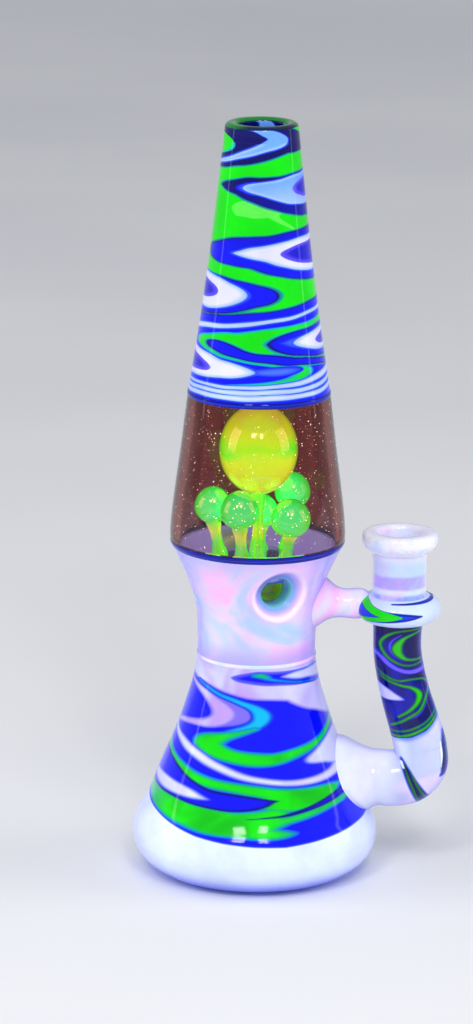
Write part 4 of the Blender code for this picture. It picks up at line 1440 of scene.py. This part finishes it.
def glitter(count=850):
    """Tiny flat flakes of metal, just inside the window's outer surface."""
    chance = random.Random(7)
    points, faces = [], []
    for _ in range(count):
        z = chance.uniform(TRIM_TOP + 1.5, WINDOW_TOP - 1.5)
        turn = chance.uniform(0, 2 * math.pi)
        r = float(radius_at(z)) - chance.uniform(0.0, 0.05)
        centre = Vector((r * math.sin(turn), -r * math.cos(turn), z))
        out = Vector((math.sin(turn), -math.cos(turn), 0))
        tilt = Vector([chance.uniform(-0.3, 0.3) for _ in range(3)])
        out = (out + tilt).normalized()
        aside = out.cross(Vector((0, 0, 1))).normalized()
        up = aside.cross(out)
        size = chance.uniform(0.1, 0.24)
        n = len(points)
        for direction, scale in ((aside, 1), (up, 1), (-aside, 1), (-up, 1), (out, 0.35), (-out, 0.35)):
            points.append(centre + direction * size * scale)
        for a in range(4):
            b = (a + 1) % 4
            faces.append((n + a, n + b, n + 4))
            faces.append((n + b, n + a, n + 5))
    return make_object("window_glitter", [tuple(p) for p in points], faces, False)


def glitter_material():
    material, tree = new_tree("glitter_metal")
    tint = ramp(tree, cloud(tree, 400.0, 2.0), ((0.35, rgb(150, 84, 50)), (0.65, rgb(255, 240, 220))))
    # The flakes' glow is a painted glint: they sparkle by themselves, as if catching a lamp.
    return finish(material, tree, tint, None, 2.2, metal=0.3)


flakes = glitter()
flakes.data.materials.append(glitter_material())
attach(flakes, "root")

# ---------------------------------------------------------------- floor, light and camera


def floor_material():
    material, tree = new_tree("paper")
    grain = cloud(tree, 3.0, 3.0)
    colour = blend(tree, step(tree, grain, 0.35, 0.65), rgb(230, 230, 232), rgb(235, 235, 236))
    inputs = {"Base Color": colour, "Roughness": 0.85, "Specular IOR Level": 0.2}
    shader = add(tree, "BsdfPrincipled", inputs)
    add(tree, "OutputMaterial", {0: shader.outputs[0]})
    return material


bpy.ops.mesh.primitive_plane_add(size=24.0, location=(0, 0, -0.0002))
floor = bpy.context.object
floor.name = "floor"
floor.data.materials.append(floor_material())

scene = bpy.context.scene
world = bpy.data.worlds.new("studio")
scene.world = world
world.use_nodes = True
sky = world.node_tree.nodes["Background"].inputs
sky["Color"].default_value = (0.9, 0.93, 1.0, 1.0)
sky["Strength"].default_value = 0.5
scene.view_settings.view_transform = "Standard"


def soft_box(name, turn, distance, height, width, tall, watts, mirrored_in_gloss, aim=0.13):
    data = bpy.data.lights.new(name, "AREA")
    data.shape = "RECTANGLE"
    data.size, data.size_y = width, tall
    data.energy = watts
    lamp = bpy.data.objects.new(name, data)
    scene.collection.objects.link(lamp)
    angle = math.radians(turn + FRONT)
    lamp.location = (distance * math.sin(angle), -distance * math.cos(angle), height)
    lamp.rotation_euler = (Vector((0, 0, aim)) - lamp.location).to_track_quat("-Z", "Y").to_euler()
    lamp.visible_glossy = mirrored_in_gloss


soft_box("left_box", -84, 1.5, 0.5, 0.9, 1.5, 11.0, False)
soft_box("right_box", 84, 1.5, 0.5, 0.9, 1.5, 10.0, False)
soft_box("top_box", 10, 1.3, 1.7, 1.0, 1.0, 7.0, False)
soft_box("left_strip", -96, 1.4, 0.5, 0.1, 0.9, 0.5, True)
soft_box("right_strip", 98, 1.4, 0.5, 0.1, 0.9, 0.45, True)
soft_box("left_key", -18, 1.1, 1.0, 0.26, 0.3, 4.2, True)
soft_box("right_key", 10, 1.1, 0.95, 0.2, 0.28, 2.8, True)

CAMERA_TURN = math.radians(FRONT)
CAMERA_RISE = math.radians(14.0)
CAMERA_DISTANCE = 1.75
CAMERA_TARGET = Vector((0, 0, 0.131))
CAMERA_ROLL = math.radians(0.6)
camera_data = bpy.data.cameras.new("camera")
camera_data.lens = 179.9
camera_data.sensor_width = 36.0
camera_data.shift_x = -0.0210
camera_data.shift_y = -0.0116
camera = bpy.data.objects.new("camera", camera_data)
scene.collection.objects.link(camera)
direction = Vector(
    (
        math.sin(CAMERA_TURN) * math.cos(CAMERA_RISE),
        -math.cos(CAMERA_TURN) * math.cos(CAMERA_RISE),
        math.sin(CAMERA_RISE),
    )
)
camera.location = CAMERA_TARGET + direction * CAMERA_DISTANCE
camera.rotation_mode = "QUATERNION"
roll = Matrix.Rotation(CAMERA_ROLL, 4, "Z").to_quaternion()
camera.rotation_quaternion = (-direction).to_track_quat("-Z", "Y") @ roll
scene.camera = camera
